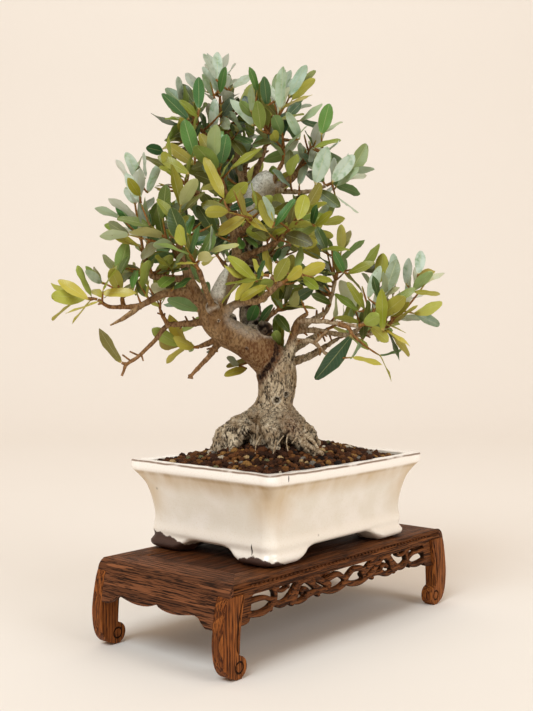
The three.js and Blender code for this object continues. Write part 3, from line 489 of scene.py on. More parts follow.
stand = {
    "halfLength": 162.4, "halfWidth": 82.5, "height": 80, "board": 10, "railWidth": 26.8, "endWidth": 30.8,
    "legWidth": 12.5, "apron": 9, "fretThickness": 6, "fretRecess": 3, "edge": 0.8,
}
wood = {
    "rail": {"light": "84502a", "mid": "5c3419", "dark": "241107", "pore": "0f0602", "rings": 85.0,
             "wander": 2.2, "pith": (0, 0.021, 0.034), "gloss": 0.42, "relief": 0.45},
    "end": {"light": "8a5738", "mid": "5c3722", "dark": "1e1009", "pore": "0f0602", "rings": 75.0,
            "wander": 3.2, "pith": (0, 0.017, 0.05), "gloss": 0.45, "relief": 0.6},
    "leg": {"light": "a8652f", "mid": "7a431d", "dark": "3c1c0a", "pore": "140803", "rings": 95.0,
            "wander": 1.4, "pith": (0, 0.03, 0.02), "gloss": 0.4, "relief": 0.4},
    # the panel's colours are darker than the other boards' as painted shade: the shadow that the pot casts on
    # it
    "panel": {"light": "643618", "mid": "45240f", "dark": "1d0e06", "pore": "100702", "rings": 60.0,
              "wander": 3.4, "pith": (0, 0.012, 0.06), "gloss": 0.42, "relief": 0.35},
}
boardBottom = stand["height"] - stand["board"]
legTop = boardBottom - 0.02  # the boards close on the legs and aprons
bulge = curveThrough([
    [158, 0], [167.5, 4.5], [173.4, 14], [175.8, 30], [174.6, 45], [171.4, 62], [168.8, 70]], 120, False)
legInner = [[147.5, legTop], [150.5, 56], [152.8, 42], [153.8, 30], [154.2, 21]]


def bulgeAt(height):
    return np.interp(height, bulge[:, 1], bulge[:, 0])


def prism(body, outline, place, steps=(0.0, 1.0), strips=False, **values):
    # a closed bar: one outline repeated at each step, put in place by a rule; strips close a bent end
    rings = [[place(a, b, step) for a, b in outline] for step in steps]
    count = len(outline)
    faces = gridFaces(len(steps), count)
    for first in (0, (len(steps) - 1) * count):
        if strips:
            faces += [tuple(dict.fromkeys(first + k for k in (i, i + 1, count - 2 - i, count - 1 - i)))
                      for i in range((count - 1) // 2)]
        else:
            faces.append(tuple(first + i for i in range(count)))
    body.add(np.vstack(rings), faces, **values)


def roundedLine(points, count=40):
    return [tuple(p) for p in curveThrough(points, count)]


def makeRail(name, side, material, node):
    # the face is a small bead, a hollow and a rounded nosing
    face = roundedLine([[1.8, boardBottom], [0.7, boardBottom + 1], [0.5, boardBottom + 2.6],
                        [1.4, boardBottom + 4], [2.6, boardBottom + 4.7]], 14)
    face += roundedLine([[2.6, boardBottom + 4.9], [2.2, boardBottom + 6], [1.0, boardBottom + 7.6],
                         [0.1, boardBottom + 8.9], [0.5, stand["height"] - 0.35], [1.6, stand["height"]]], 16)
    outline = [(stand["railWidth"], boardBottom), *face, (stand["railWidth"], stand["height"])]
    mitre = stand["endWidth"] / stand["railWidth"]

    def place(inward, height, step):
        half = stand["halfLength"] - inward * mitre + 0.05  # the mitre is glued shut
        return (side * half * (1 - 2 * step), side * (stand["halfWidth"] - inward), height)

    body = Body()
    prism(body, outline, place, np.linspace(0, 1, 25))
    piece = bevelled(body.build(name), 0.3, 2, 50)
    soften(piece, 40)
    return finished(piece, material, "stand_wood", node)


def makeEndBoard(name, side, material, node):
    inner = stand["halfLength"] - stand["endWidth"]
    nosing = roundedLine([[168.4, boardBottom], [167.9, 71.6], [166.9, 74.2], [165.1, 76.8], [162.4, 78.8],
                          [158.8, 79.8], [155, stand["height"]]], 22)
    under = [(x, boardBottom) for x, _ in nosing[:0:-1]]
    outline = [(inner, boardBottom), *under, *nosing, (inner, stand["height"])]
    mitre = stand["railWidth"] / stand["endWidth"]

    def place(x, height, step):
        reach = stand["halfWidth"] - max(0, stand["halfLength"] - x) * mitre
        return (side * x, reach * (2 * step - 1), height)

    body = Body()
    prism(body, outline, place, np.linspace(0, 1, 13), strips=True)
    piece = body.build(name)
    soften(piece, 40)
    return finished(piece, material, "stand_wood", node)


def makeTopPanel(material):
    halfX = stand["halfLength"] - stand["endWidth"] - 2 * seatGap
    halfY = stand["halfWidth"] - stand["railWidth"] - 2 * seatGap
    top = stand["height"] - 0.4
    bottom = top - (stand["board"] - 1.5)
    outline = [(-halfX, bottom), (-halfX, top), (halfX, top), (halfX, bottom)]
    body = Body()
    prism(body, outline, lambda x, z, step: (x, halfY * (2 * step - 1), z), np.linspace(0, 1, 9))
    piece = bevelled(body.build("standPanel"), 0.5, 3)
    soften(piece, 40)
    return finished(piece, material, "stand_panel", "stand_top_panel")


apron = [[0, 52.5], [4, 50], [9, 48.6], [15, 47.8], [22, 47.5], [30, 48], [38, 49.4], [44, 50.6], [48, 50.8],
         [52, 49.6], [56, 46], [60, 43], [62, 42.5]]


def makeApron(name, side, material, node):
    end = stand["halfWidth"] - stand["legWidth"] + 0.05
    cusp = np.array(apron)
    across = np.concatenate([np.linspace(0, 8, 9), np.linspace(9, 44, 24), np.linspace(45, end, 26)])
    low = np.interp(across, cusp[:, 0], cusp[:, 1])
    low[across > 62] = 42.5
    ys = np.concatenate([-across[:0:-1], across])
    lows = np.concatenate([low[:0:-1], low])
    rows, edge = 22, stand["edge"]
    columns = len(ys)
    grids = []
    for outer in (True, False):
        points = []
        for r in range(rows):
            share = (r / (rows - 1)) ** 0.85
            z = lows + (legTop - lows) * share
            rounding = edge * np.clip(1 - (z - lows) / edge, 0, 1) ** 2
            x = bulgeAt(z) - (rounding if outer else stand["apron"] - rounding)
            points.append(np.column_stack([side * x, ys, z]))
        grids.append(np.vstack(points))
    faces = gridFaces(rows, columns, 0, False) + gridFaces(rows, columns, rows * columns, False)
    back = rows * columns
    for c in range(columns - 1):
        faces.append((c, c + 1, back + c + 1, back + c))
        top = (rows - 1) * columns
        faces.append((top + c, top + c + 1, back + top + c + 1, back + top + c))
    for r in range(rows - 1):
        for c in (0, columns - 1):
            a, b = r * columns + c, (r + 1) * columns + c
            faces.append((a, b, back + b, back + a))
    body = Body()
    body.add(np.vstack(grids), faces)
    piece = body.build(name)
    soften(piece, 40)
    return finished(piece, material, "stand_wood", node)


scroll = {"x": 155, "z": 10, "radius": 9.6, "from": 1.68, "to": 4.32, "flatEnd": 152, "ring": 4.7,
          "groove": 1.0, "around": 28}
legGroove = [[149.4, 69.5], [152.4, 60], [155.6, 48], [157.4, 36], [157.4, 26], [156.6, 22]]


def makeLeg(name, sideX, sideY, material, node):
    outline = [(scroll["flatEnd"], 0)]
    outline += [(x, z) for x, z in bulge[::4] if z < legTop - 1]
    outline.append((float(bulgeAt(legTop)), legTop))
    outline += roundedLine(legInner, 14)
    turns = 22
    for i in range(turns + 1):
        angle = scroll["from"] + (scroll["to"] - scroll["from"]) * i / turns
        outline.append((scroll["x"] + scroll["radius"] * math.cos(angle),
                        scroll["z"] + scroll["radius"] * math.sin(angle)))
    near, far = stand["halfWidth"] - stand["legWidth"], stand["halfWidth"]
    body = Body()
    prism(body, outline, lambda x, z, step: (sideX * x, sideY * (near + (far - near) * step), z))
    piece = bevelled(body.build(name), stand["edge"], 3, 40)
    cuts = Body()
    around, last = scroll["around"], (scroll["around"] - 1) * 8
    for face in (near, far):
        ring = [(sideX * (scroll["x"] + scroll["ring"] * math.cos(a)), sideY * face,
                 scroll["z"] + scroll["ring"] * math.sin(a)) for a in np.linspace(0, 2 * math.pi, around + 1)]
        closing = [(last + c, last + (c + 1) % 8, (c + 1) % 8, c) for c in range(8)]
        cuts.add(sweep(ring[:-1], [scroll["groove"]] * around, 8)[0], gridFaces(around, 8) + closing)
    line = curveThrough([[sideX * x, sideY * far, z] for x, z in legGroove], 24)
    cuts.add(*sweep(line, 1.1 * np.sin(np.linspace(0.25, 2.95, 24)) ** 0.4, 8))
    carved(piece, cuts.build(name + "Cuts"))
    # the insides of the carved lines are painted dark as shade
    x, y, z = np.abs((vertexPlaces(piece) - standCentre) / mm).T
    below = smoothStep(0.1, 0.45, np.minimum(far - y, y - near))
    fromRing = np.abs(np.hypot(x - scroll["x"], z - scroll["z"]) - scroll["ring"])
    fromLine = lineDistance(np.column_stack([x, z, 0 * z]), [[a, b, 0, 0] for a, b in legGroove])
    keepValues(piece, "paintedShade", below * (np.minimum(fromRing, fromLine) < scroll["groove"] + 0.15))
    soften(piece, 38)
    return finished(piece, material, "stand_wood", node)


# the scrolls of the fretwork's right half: points along X and Z, width, and how far they stand forward
fretwork = {
    "scrolls": [
        ([[141, 50.5], [131, 48.6], [121, 48], [111, 50.5], [104.5, 56], [104, 62], [108, 68]], 4.2, 0.0),
        ([[141, 60], [128, 60.8], [116, 59.8], [107, 56]], 3.6, -0.7),
        ([[105, 54], [97, 50.2], [88, 51.4], [80, 57], [74, 63], [69, 68]], 4.8, -0.3),
        ([[104, 67], [98, 62.8], [91, 62.2], [87, 64.4]], 3.0, -0.9),
        ([[86, 49.6], [77, 52.5], [75, 58], [70, 64], [62, 65.6], [54, 61.6], [46, 56], [36, 51.2],
          [23, 47.8], [9, 48.8], [-1, 52.5]], 4.6, 0.0),
        ([[82, 49.6], [70, 47.4], [60, 50], [58.4, 54.6], [63.4, 57.6], [68.4, 55.4]], 3.6, -0.4),
        ([[64, 49.4], [52, 51.4], [38, 50.6]], 4.2, -0.7),
        ([[52, 67.5], [43, 63], [33, 57.6], [25, 53.5]], 5.0, -0.2),
        ([[34, 57.4], [23, 61], [12, 61.6], [5, 58], [-1, 54]], 4.2, -0.5),
    ],
    "curls": [(87, 64.4, 2.5), (68.2, 55.2, 2.3), (107.6, 66.5, 2.2), (38, 51, 2.2)],
    "drops": [(110, 48.6, 2.3), (81, 47.6, 2.3), (43, 48.4, 2.3)],
    "railBottom": 66.3, "voxel": 0.55,
}


def makeFretwork(name, side, material, node):
    front = stand["halfWidth"] - stand["fretRecess"]
    back = front - stand["fretThickness"]
    middle, half = (front + back) / 2, stand["fretThickness"] / 2
    body = Body()
    for mirror in (-1, 1):
        for line, width, forward in fretwork["scrolls"]:
            path = curveThrough([[mirror * x, z] for x, z in line], 8 * len(line))
            points = [[x, side * middle, z] for x, z in path]
            swell = 1.34 + 0.1 * np.sin(np.linspace(0, 2 * math.pi, len(points)))
            tube, faces = sweep(points, 0.5 * width * swell, 16)
            flat = (tube[:, 1] - side * middle) / (0.5 * width)
            tube[:, 1] = side * middle + side * forward * 0.5 + np.sign(flat) * np.abs(flat) ** 0.62 * (
                half + forward * 0.5)
            body.add(tube, faces)
        for x, z, radius in fretwork["curls"] + fretwork["drops"]:
            depths = np.linspace(-1, 1, 9)
            line = [[mirror * x, side * (middle + half * d), z] for d in depths]
            body.add(*sweep(line, radius * (1 - 0.35 * np.abs(depths) ** 3), 16))
        inner = [(x - seatGap, z) for x, z in legInner if z >= 42]
        block = [*inner, (143, 42.4), (139.4, 43.4), (137.4, 46), (137, 50), (136, 58), (137, 63),
                 (133, fretwork["railBottom"]), (133, legTop)]
        prism(body, block, lambda x, z, step: (mirror * x, side * (back + 0.4 + (2 * half - 0.8) * step), z))
    bar = [(-140, fretwork["railBottom"]), (140, fretwork["railBottom"]), (140, legTop), (-140, legTop)]
    prism(body, bar, lambda x, z, step: (x, side * (back + 0.2 + (2 * half - 0.3) * step), z))
    piece = body.build(name)
    remeshed(piece, fretwork["voxel"])
    points = vertexPlaces(piece)
    points[:, 2] = np.minimum(points[:, 2], legTop * mm)
    setPlaces(piece, points)
    relaxed(piece, 2)
    # the sides between the two faces, where they face sideways or down, are painted dark as shade
    facing = vertexNormals(piece)
    keepValues(piece, "paintedShade",
               smoothStep(0.9, 0.45, np.abs(facing[:, 1])) * smoothStep(0.75, 0.1, facing[:, 2]))
    soften(piece)
    return finished(piece, material, "stand_wood", node)


beading = {"from": 137.0, "Spacing": 0.0056, "Bead Length": 0.0046, "Bead Width": 0.0021, "Lean": 0.55}


def makeBeadTree(material):
    tree, given, result = newGrowth("ropeBeads", {
        "Spacing": 0.005, "Bead Length": 0.004, "Bead Width": 0.002, "Lean": 0.5, "Finish": material})
    points = put("CurveToPoints", Curve=put("MeshToCurve", Mesh=given["Geometry"]),
                 Length=given["Spacing"], mode="LENGTH")
    smooth = put("SetShadeSmooth", Geometry=roundLump()[0])
    half = put("CombineXYZ", X=given["Bead Length"] * 0.5, Y=given["Bead Width"] * 0.5,
               Z=given["Bead Width"] * 0.5)
    lean = put("CombineXYZ", Y=given["Lean"])
    beads = put("InstanceOnPoints", Points=points, Instance=smooth, Rotation=lean, Scale=half)
    endGrowth(result, put("RealizeInstances", Geometry=beads), given["Finish"])
    return tree


def makeBeading(name, side, material, group, node):
    depth = stand["halfWidth"] - 1.9
    ends = [(-side * beading["from"], side * depth, boardBottom + 4.5),
            (side * beading["from"], side * depth, boardBottom + 4.5)]
    piece = newPiece(name, [tuple(np.array(end) * mm + standCentre) for end in ends], [(0, 1)])
    grown(piece, group, {**beading, "Finish": material, "Lean": beading["Lean"] * -side})
    return finished(piece, material, "stand_wood", node)


def makeStand():
    finishes = {name: woodMaterial("wood_" + name, along, wood[name]) for name, along in
                (("rail", "x"), ("end", "y"), ("leg", "z"), ("panel", "x"))}
    makeTopPanel(finishes["panel"])
    beads = makeBeadTree(finishes["rail"])
    for row, side in (("front", -1), ("back", 1)):
        makeRail("standRail_" + row, side, finishes["rail"], "stand_rail_" + row)
        makeFretwork("standFretwork_" + row, side, finishes["rail"], "stand_fretwork_" + row)
        makeBeading("standBeading_" + row, side, finishes["rail"], beads, "stand_rail_" + row)
        for column, sideX in (("left", -1), ("right", 1)):
            makeLeg(f"standLeg_{row}_{column}", sideX, side, finishes["leg"], f"stand_leg_{row}_{column}")
    for column, side in (("left", -1), ("right", 1)):
        makeEndBoard("standEndBoard_" + column, side, finishes["end"], "stand_end_board_" + column)
        makeApron("standApron_" + column, side, finishes["end"], "stand_end_apron_" + column)
    print("stand done")


pot = {
    "halfLength": 118.4, "halfWidth": 90.5, "height": 85.7, "centre": (2.6, 5.9), "cornerRadius": 14,
    "cornerFlare": 4, "flareFrom": 60, "floorTop": 18, "floorBottom": 11, "footArmLength": 86,
    "footArmWidth": 54, "drainRadius": 11, "drainAt": 52, "perSide": 56, "sag": 1.4,
}
slimness = pot["halfLength"] - pot["halfWidth"]
potBase = stand["height"] + seatGap
potWall = [[16, 0], [12, 2.4], [10.2, 6.4], [13.2, 12.2], [12.2, 18], [13.6, 30], [11.6, 46], [7.4, 61.5],
           [3, 71.5], [-0.4, 77.5], [-0.8, 84]]
potInside = [[84, 18], [91, 23], [93.4, 36], [98, 58], [104.7, 77], [107, 83.6]]
longCut = [[68, 0], [67, 1.2], [63, 3.6], [57, 7], [52, 10.2], [46, 12], [38, 12.6], [0, 12.6]]
shortCut = [[43, 0], [42, 1.2], [38.5, 3.8], [33.5, 7.4], [28.5, 10.8], [22, 12.4], [16, 12.8], [0, 12.8]]
# how the bare clay climbs the feet: x, y, height and spread
bareClay = [(-108, 74, 15, 46), (-112, -60, 8, 17), (-90, -88, 2.5, 14), (108, 84, 5, 26)]
# small black cracks in the glaze: middle x, y, z over the pot's base, and half sizes
glazeCracks = [((-105.5, -56, 15), (5, 1.0, 6)), ((-97, -91.5, 80.5), (0.9, 5, 3.6)),
               ((-60, -92, 71), (2.2, 4, 0.5))]


def onPot(points):
    # from the pot's middle and base to the stand's middle and the floor
    return points + [*pot["centre"], potBase]


def rectangle(halfLength, flare=0.0, halfWidth=None, radius=None):
    # points round a rectangle with round, drawn-out corners; also how near each is to a corner
    halfWidth = halfLength - slimness if halfWidth is None else halfWidth
    if radius is None:
        radius = max(5, pot["cornerRadius"] - 0.2 * (pot["halfLength"] - halfLength))
    arc = 16
    points, corner = [], []
    for quarter, (signX, signY) in enumerate(((1, 1), (-1, 1), (-1, -1), (1, -1))):
        for i in range(arc + 1):
            angle = (quarter + i / arc) * math.pi / 2
            drawn = flare * math.sqrt(0.5) * abs(math.sin(2 * angle))
            points.append([signX * (halfLength - radius + drawn) + radius * math.cos(angle),
                           signY * (halfWidth - radius + drawn) + radius * math.sin(angle)])
            corner.append(1.0)
        nextX, nextY = ((-1, 1), (-1, -1), (1, -1), (1, 1))[quarter]
        angle = (quarter + 1) * math.pi / 2
        start = points[-1]
        end = [nextX * (halfLength - radius) + radius * math.cos(angle),
               nextY * (halfWidth - radius) + radius * math.sin(angle)]
        for i in range(1, pot["perSide"] - arc):
            share = i / (pot["perSide"] - arc)
            points.append([start[0] + (end[0] - start[0]) * share, start[1] + (end[1] - start[1]) * share])
            corner.append(max(0.0, 1 - min(share, 1 - share) * 7))
    return np.array(points), np.array(corner)


def cutHeight(points):
    # the height of the wall's lower edge, which arches between the feet
    onLong = np.abs(points[:, 1]) > np.abs(points[:, 0]) - slimness
    long, short = np.array(longCut)[::-1], np.array(shortCut)[::-1]
    return np.where(onLong, np.interp(np.abs(points[:, 0]), long[:, 0], long[:, 1]),
                    np.interp(np.abs(points[:, 1]), short[:, 0], short[:, 1]))


def makePot(material):
    body = Body("lip", "rimLine", "corner", "inside", "bareTo")
    wall = curveThrough(potWall, 90)
    wallAt = lambda z: np.interp(z, wall[:, 1], wall[:, 0])
    flareAt = lambda z: pot["cornerFlare"] * float(smoothStep(pot["flareFrom"], pot["height"] - 6, z))
    plan, corner = rectangle(pot["halfLength"] - 12)
    edge = cutHeight(plan)
    columns = len(plan)
    rings, marks = [], []

    def ring(points, heights, **mark):
        heights = np.broadcast_to(heights, (columns,))
        dip = pot["sag"] * (1 - (points[:, 0] / pot["halfLength"]) ** 2) * smoothStep(40, 85, heights)
        dip = dip * smoothStep(60, 90, np.abs(points[:, 1]))
        wavy = smoothStep(70, 76, heights) * smoothStep(83, 86.5, heights + 3 * mark.get("lip", 0))
        dip = dip + wavy * [0.7 * noise.noise(Vector((x * 0.07, y * 0.07, 0.3))) for x, y in points]
        rings.append(np.column_stack([points, heights - dip]))
        marks.append({"corner": corner, **mark})

    # the underside, from its middle out, and the inner side of the feet
    underPlan = rectangle(pot["footArmLength"], halfWidth=pot["footArmWidth"], radius=6)[0]
    for share in (0.02, 0.5, 0.97):
        ring(underPlan * share, pot["floorBottom"], inside=1.0)
    ring(underPlan, np.minimum(pot["floorBottom"], edge + 5), inside=1.0)
    footInner = rectangle(pot["footArmLength"] + 3, halfWidth=pot["footArmWidth"] + 3, radius=7)[0]
    ring(footInner, edge + 0.6, inside=1.0)
    for share in (0.3, 0.65, 0.9):
        outer = rectangle(pot["halfLength"] - 16)[0]
        ring(footInner + (outer - footInner) * share, edge + 0.02, inside=0.6)
    # the outer wall: its lower rings follow the arched edge and close into the base band
    for v in (0.0, 0.04, 0.1, 0.18, 0.28, 0.4, 0.52, 0.64, 0.76, 0.88, 1.0):
        heights = edge + (18 - edge) * v
        rounding = 2.6 * np.clip(1 - (heights - edge) / 3.2, 0, 1) ** 2.2
        inset = wallAt(heights) + rounding
        points = np.array([rectangle(pot["halfLength"] - inset[i])[0][i] for i in range(columns)])
        ring(points, heights)
    for z in np.concatenate([np.linspace(20, 66, 24), np.linspace(67.5, 84.2, 18)]):
        points = rectangle(pot["halfLength"] - wallAt(z), flareAt(z))[0]
        ring(points, z, lip=float(smoothStep(74.5, 77, z)), rimLine=float(smoothStep(83.4, 84.3, z)))
    top = [(-0.5, 85.0, 1.0), (0.1, 85.5, 0.45), (0.9, 85.7, 0.0), (3, 85.75, 0), (6, 85.6, 0),
           (8.6, 85.3, 0), (10.2, 84.9, 0.15), (11.1, 84.0, 0.5), (11.5, 82.6, 0.3)]
    for inset, z, line in top:
        flare = pot["cornerFlare"] * (1 - inset / 13)
        ring(rectangle(pot["halfLength"] - inset, max(0, flare))[0], z, lip=1.0, rimLine=line,
             inside=float(inset > 11))
    inner = curveThrough(potInside[::-1], 24)
    for half, z in inner[2:]:
        flare = 0.6 * float(smoothStep(60, 84, z))
        ring(rectangle(half, flare)[0], z, inside=1.0)
    for share in (0.97, 0.5, 0.02):
        ring(rectangle(84)[0] * share, pot["floorTop"], inside=1.0)
    points = np.vstack(rings)
    # how high the bare clay of each foot reaches, in millimetres
    bareTo = sum(reach * np.exp(-((points[:, 0] - x) / wide) ** 2 - ((points[:, 1] - y) / wide) ** 2)
                 for x, y, reach, wide in bareClay)
    values = {name: np.concatenate([np.broadcast_to(np.asarray(mark.get(name, 0.0), float), (columns,))
                                    for mark in marks]) for name in ("lip", "rimLine", "corner", "inside")}
    body.add(onPot(points), tubeFaces(len(rings), columns), bareTo=2.5 + bareTo, **values)
    piece = body.build("potBody")
    holes = Body()
    for side in (-1, 1):
        x, y = pot["centre"][0] + side * pot["drainAt"], pot["centre"][1]
        line = [[x, y, potBase + z] for z in (-5, pot["floorBottom"] - 1, pot["floorTop"] + 1, 30)]
        holes.add(*sweep(line, [pot["drainRadius"]] * 4, 40))
    carved(piece, holes.build("drainHoles"))
    soften(piece, 50)
    return finished(piece, material, "pot_glaze", "pot")


def glazeMaterial():
    material, shader, place = newMaterial("cream_glaze")
    middle = stretched(place,
                       shift=[-standCentre[0] - pot["centre"][0] * mm,
                              -standCentre[1] - pot["centre"][1] * mm, -potBase * mm])
    height = put("SeparateXYZ", Vector=middle)["Z"]
    cloud = clouded(middle, 34.0, 4.0)
    fine = clouded(middle, 900.0, 2.0)
    runs = clouded(stretched(middle, (1, 1, 0.18)), 60.0, 3.0)
    lip, corner = attribute("lip"), attribute("corner")
    inside, rim = attribute("inside"), attribute("rimLine")
    body = blend(between(cloud, 0.35, 0.65), "e7e2d6", "f0ece4")
    # thicker glaze pools tan under the lip and down the corners
    pool = compute("MULTIPLY", between(height, 0.052, 0.072), runs * 1.1 + 0.1, True)
    pool = pool * between(height, 0.078, 0.0725)
    cornerPool = compute("MULTIPLY", corner * between(height, 0.02, 0.06), runs + 0.2, True)
    body = blend(compute("MAXIMUM", pool, cornerPool), body, "cbb187")
    # a thin darker line where the glaze gathers right under the lip
    gather = between(height, 0.0705, 0.0735) * between(height, 0.0765, 0.0745)
    gather = gather * between(runs, 0.2, 0.7)
    body = blend(gather * 0.6, body, "a98c62")
    band = between(height, 0.029, 0.020) * between(height, 0.006, 0.012)
    body = blend(band * 0.75, body, "f8f3e9")
    body = blend(lip, body, "fffcf6")
    body = blend(rim * between(runs, 0.15, 0.5) * 0.9, body, "6b4c33")
    body = blend(inside * 0.8, body, "b5b0a4")
    body = blend(between(fine, 0.52, 0.75) * 0.22, body, "c8b08a")
    pinholes = spotted(middle, 55.0, -0.17, 0.5)
    body = blend(pinholes * 0.85, body, "5d4630")
    for centre, half in glazeCracks:
        away = put("VectorMath",
                   {0: stretched(middle, shift=[-v * mm for v in centre]),
                    1: [1 / (v * mm) for v in half]}, operation="MULTIPLY")
        reach = put("VectorMath", {0: away}, operation="LENGTH")["Value"]
        body = blend(between(reach, 1.0, 0.6), body, "2a2522")
    # bare brown clay round the soles of the feet
    edge = height + (cloud - 0.5) * 0.014
    ragged = clouded(middle, 170.0, 3.0)
    edge = edge + (ragged - 0.5) * 0.008
    bare = attribute("bareTo") * mm
    clay = between(edge - bare, 0.0008, -0.0008)
    body = blend(clay, body, blend(fine, "2f1d17", "50352a"))
    rough = blend(clay, blend(between(cloud, 0.3, 0.7), grey(0.2), grey(0.26)), grey(0.8))
    ripple = cloud + fine * 0.05
    ripple = ripple - pinholes * 0.4
    dress(shader, body, rough, bump(ripple, 0.8, 0.2), **{"Coat Weight": 0.3, "Coat Roughness": 0.1})
    return material


net = {"radius": 17, "thickness": 1.4, "Pitch": 0.0024, "Bar": 0.0008}


def makeNetTree(material):
    tree, given, result = newGrowth("drainNet", {
        "Radius": 0.017, "Pitch": 0.0024, "Bar": 0.0008, "Finish": material})
    count = compute("FLOOR", given["Radius"] * 2.0 / given["Pitch"])
    first = put("CombineXYZ", X=(count - 1.0) * (given["Pitch"] * -0.5))
    line = put("MeshLine", {"Start Location": first}, Count=count, Offset=put("CombineXYZ", X=given["Pitch"]))
    x = put("SeparateXYZ", Vector=put("InputPosition"))
    reach = compute("SQRT", given["Radius"] * given["Radius"] - x * x)
    bar = put("MeshCube", Size=(1, 1, 1))
    bars = put("InstanceOnPoints", Points=line, Instance=bar["Mesh"],
               Scale=put("CombineXYZ", X=given["Bar"], Y=reach * 2.0, Z=given["Bar"]))
    crossed = put("Transform", Geometry=bars, Rotation=(0, 0, math.pi / 2), Translation=(0, 0, 0.0004))
    rimLine = put("CurvePrimitiveCircle", Radius=given["Radius"])
    wire = put("CurvePrimitiveCircle", Radius=given["Bar"], Resolution=8)
    rim = put("CurveToMesh", {"Profile Curve": wire}, Curve=rimLine)
    placed = put("InstanceOnPoints", Points=given["Geometry"], Instance=joinedParts((bars, crossed, rim)))
    endGrowth(result, put("RealizeInstances", Geometry=placed), given["Finish"])
    return tree


def netMaterial():
    material, shader, place = newMaterial("net_plastic")
    wear = clouded(place, 600.0, 3.0)
    dress(shader, ramp(wear, [(0.3, "16181a"), (0.8, "34302b")]), ramp(wear, [(0.3, 0.4), (0.7, 0.65)]),
          bump(wear, 0.1, 0.4))
    return material


def makeNets():
    material = netMaterial()
    tree = makeNetTree(material)
    for column, side in (("left", -1), ("right", 1)):
        z = potBase + pot["floorTop"] + seatGap + net["thickness"] / 2
        place = np.array([pot["centre"][0] + side * pot["drainAt"], pot["centre"][1], z]) * mm + standCentre
        piece = newPiece("drainNet_" + column, [tuple(place)])
        grown(piece, tree, {"Radius": (net["radius"] - 1) * mm, "Pitch": net["Pitch"], "Bar": net["Bar"],
                            "Finish": material})
        finished(piece, material, "drain_net", "drain_net_" + column)


soil = {"edge": 79, "mound": 97, "reach": 58, "bare": 2.2}
heap = {"at": (52, 26), "wide": (44, 42), "rise": 8}
granules = {"Spacing": 0.0043, "Smallest": 0.0022, "Largest": 0.0047, "Seed": 11}


def placed(across, deep, height):
    cos, sin = math.cos(tree["turn"]), math.sin(tree["turn"])
    return np.column_stack(np.broadcast_arrays(
        pot["centre"][0] + np.asarray(across) * cos + np.asarray(deep) * sin,
        pot["centre"][1] - np.asarray(across) * sin + np.asarray(deep) * cos, height)).astype(float)


def soilTop(x, y):
    # x and y from the pot's middle
    foot = placed(-14, 0, 0)[0]
    away = np.hypot((x + pot["centre"][0] - foot[0]) / 1.15, y + pot["centre"][1] - foot[1])
    side = placed(*heap["at"], 0)[0]
    across = (x + pot["centre"][0] - side[0]) / heap["wide"][0]
    deep = (y + pot["centre"][1] - side[1]) / heap["wide"][1]
    return (soil["edge"] + (soil["mound"] - soil["edge"]) / (1 + (away / soil["reach"]) ** 3)
            + heap["rise"] * np.exp(-across ** 2 - deep ** 2))


def wallInside(height):
    inside = np.array(potInside)
    return float(np.interp(height, inside[:, 1], inside[:, 0])) - 0.5


def makeSoilBed(material):
    body = Body("tone")
    rings = [rectangle(83.4)[0] * 0.02, rectangle(83.4)[0]]
    heights = [pot["floorTop"] + 0.4] * 2
    for z in (pot["floorTop"] + 5, 36, 48, 58, 68, soil["edge"] - 2):
        rings.append(rectangle(wallInside(z))[0])
        heights.append(z)
    edge = wallInside(soil["edge"] - 2)
    tops = 26
    for i in range(1, tops + 1):
        share = 1 - i / tops
        points = rectangle(edge)[0] * max(share, 0.01)
        rings.append(points)
        heights.append(None)
    rows = []
    for points, z in zip(rings, heights):
        if z is None:
            z = soilTop(points[:, 0], points[:, 1]) - soil["bare"]
            z += np.array([1.1 * noise.noise(Vector((x * 0.16, y * 0.16, 3.0))) for x, y in points])
        rows.append(np.column_stack([points, np.broadcast_to(z, (len(points),))]))
    body.add(onPot(np.vstack(rows)), tubeFaces(len(rings), len(rings[0])), tone=0.05)
    piece = body.build("soilBed")
    soften(piece)
    return finished(piece, material, "soil", "soil")


def makeGranuleTree(material):
    tree, given, result = newGrowth("soilGranules", {
        "Spacing": 0.0034, "Smallest": 0.0015, "Largest": 0.0035, "Seed": 1, "Finish": material})
    points = put("DistributePointsOnFaces", {"Distance Min": given["Spacing"], "Density Max": 160000.0},
                 Mesh=given["Geometry"], Seed=given["Seed"], distribute_method="POISSON")
    lump, place = roundLump()
    sizes = put("RandomValue", {2: 0.0, 3: 1.0}, Seed=3)
    size = put("MapRange", {"To Min": given["Smallest"], "To Max": given["Largest"]},
               Value=compute("POWER", sizes[1], 1.8))
    shape = put("RandomValue", {0: (0.75, 0.75, 0.6), 1: (1.25, 1.15, 1.0)}, Seed=4, data_type="FLOAT_VECTOR")
    scale = put("VectorMath", {0: shape, 3: size}, operation="SCALE")
    turn = put("RandomValue", {0: (-0.5, -0.5, 0), 1: (0.5, 0.5, 6.28)}, Seed=5, data_type="FLOAT_VECTOR")
    stones = put("InstanceOnPoints", Points=points, Instance=lump, Rotation=turn, Scale=scale)
    lift = put("RandomValue", {2: 0.0002, 3: 0.0022}, Seed=6)[1]
    raised = put("TranslateInstances", {"Local Space": False}, Instances=stones,
                 Translation=put("CombineXYZ", Z=lift))
    tone = put("RandomValue", {2: 0.0, 3: 1.0}, Seed=8)[1]
    real = put("RealizeInstances", Geometry=stored(raised, "tone", tone, "INSTANCE"))
    push = put("VectorMath", {0: clouded(place, 420.0, 1.0)["Color"], 1: (0.5, 0.5, 0.5)},
               operation="SUBTRACT")
    push = put("VectorMath", {0: push, 3: 0.0022}, operation="SCALE")
    broken = put("SetPosition", Geometry=real, Offset=push)
    endGrowth(result, put("SetShadeSmooth", Geometry=broken), given["Finish"])
    return tree


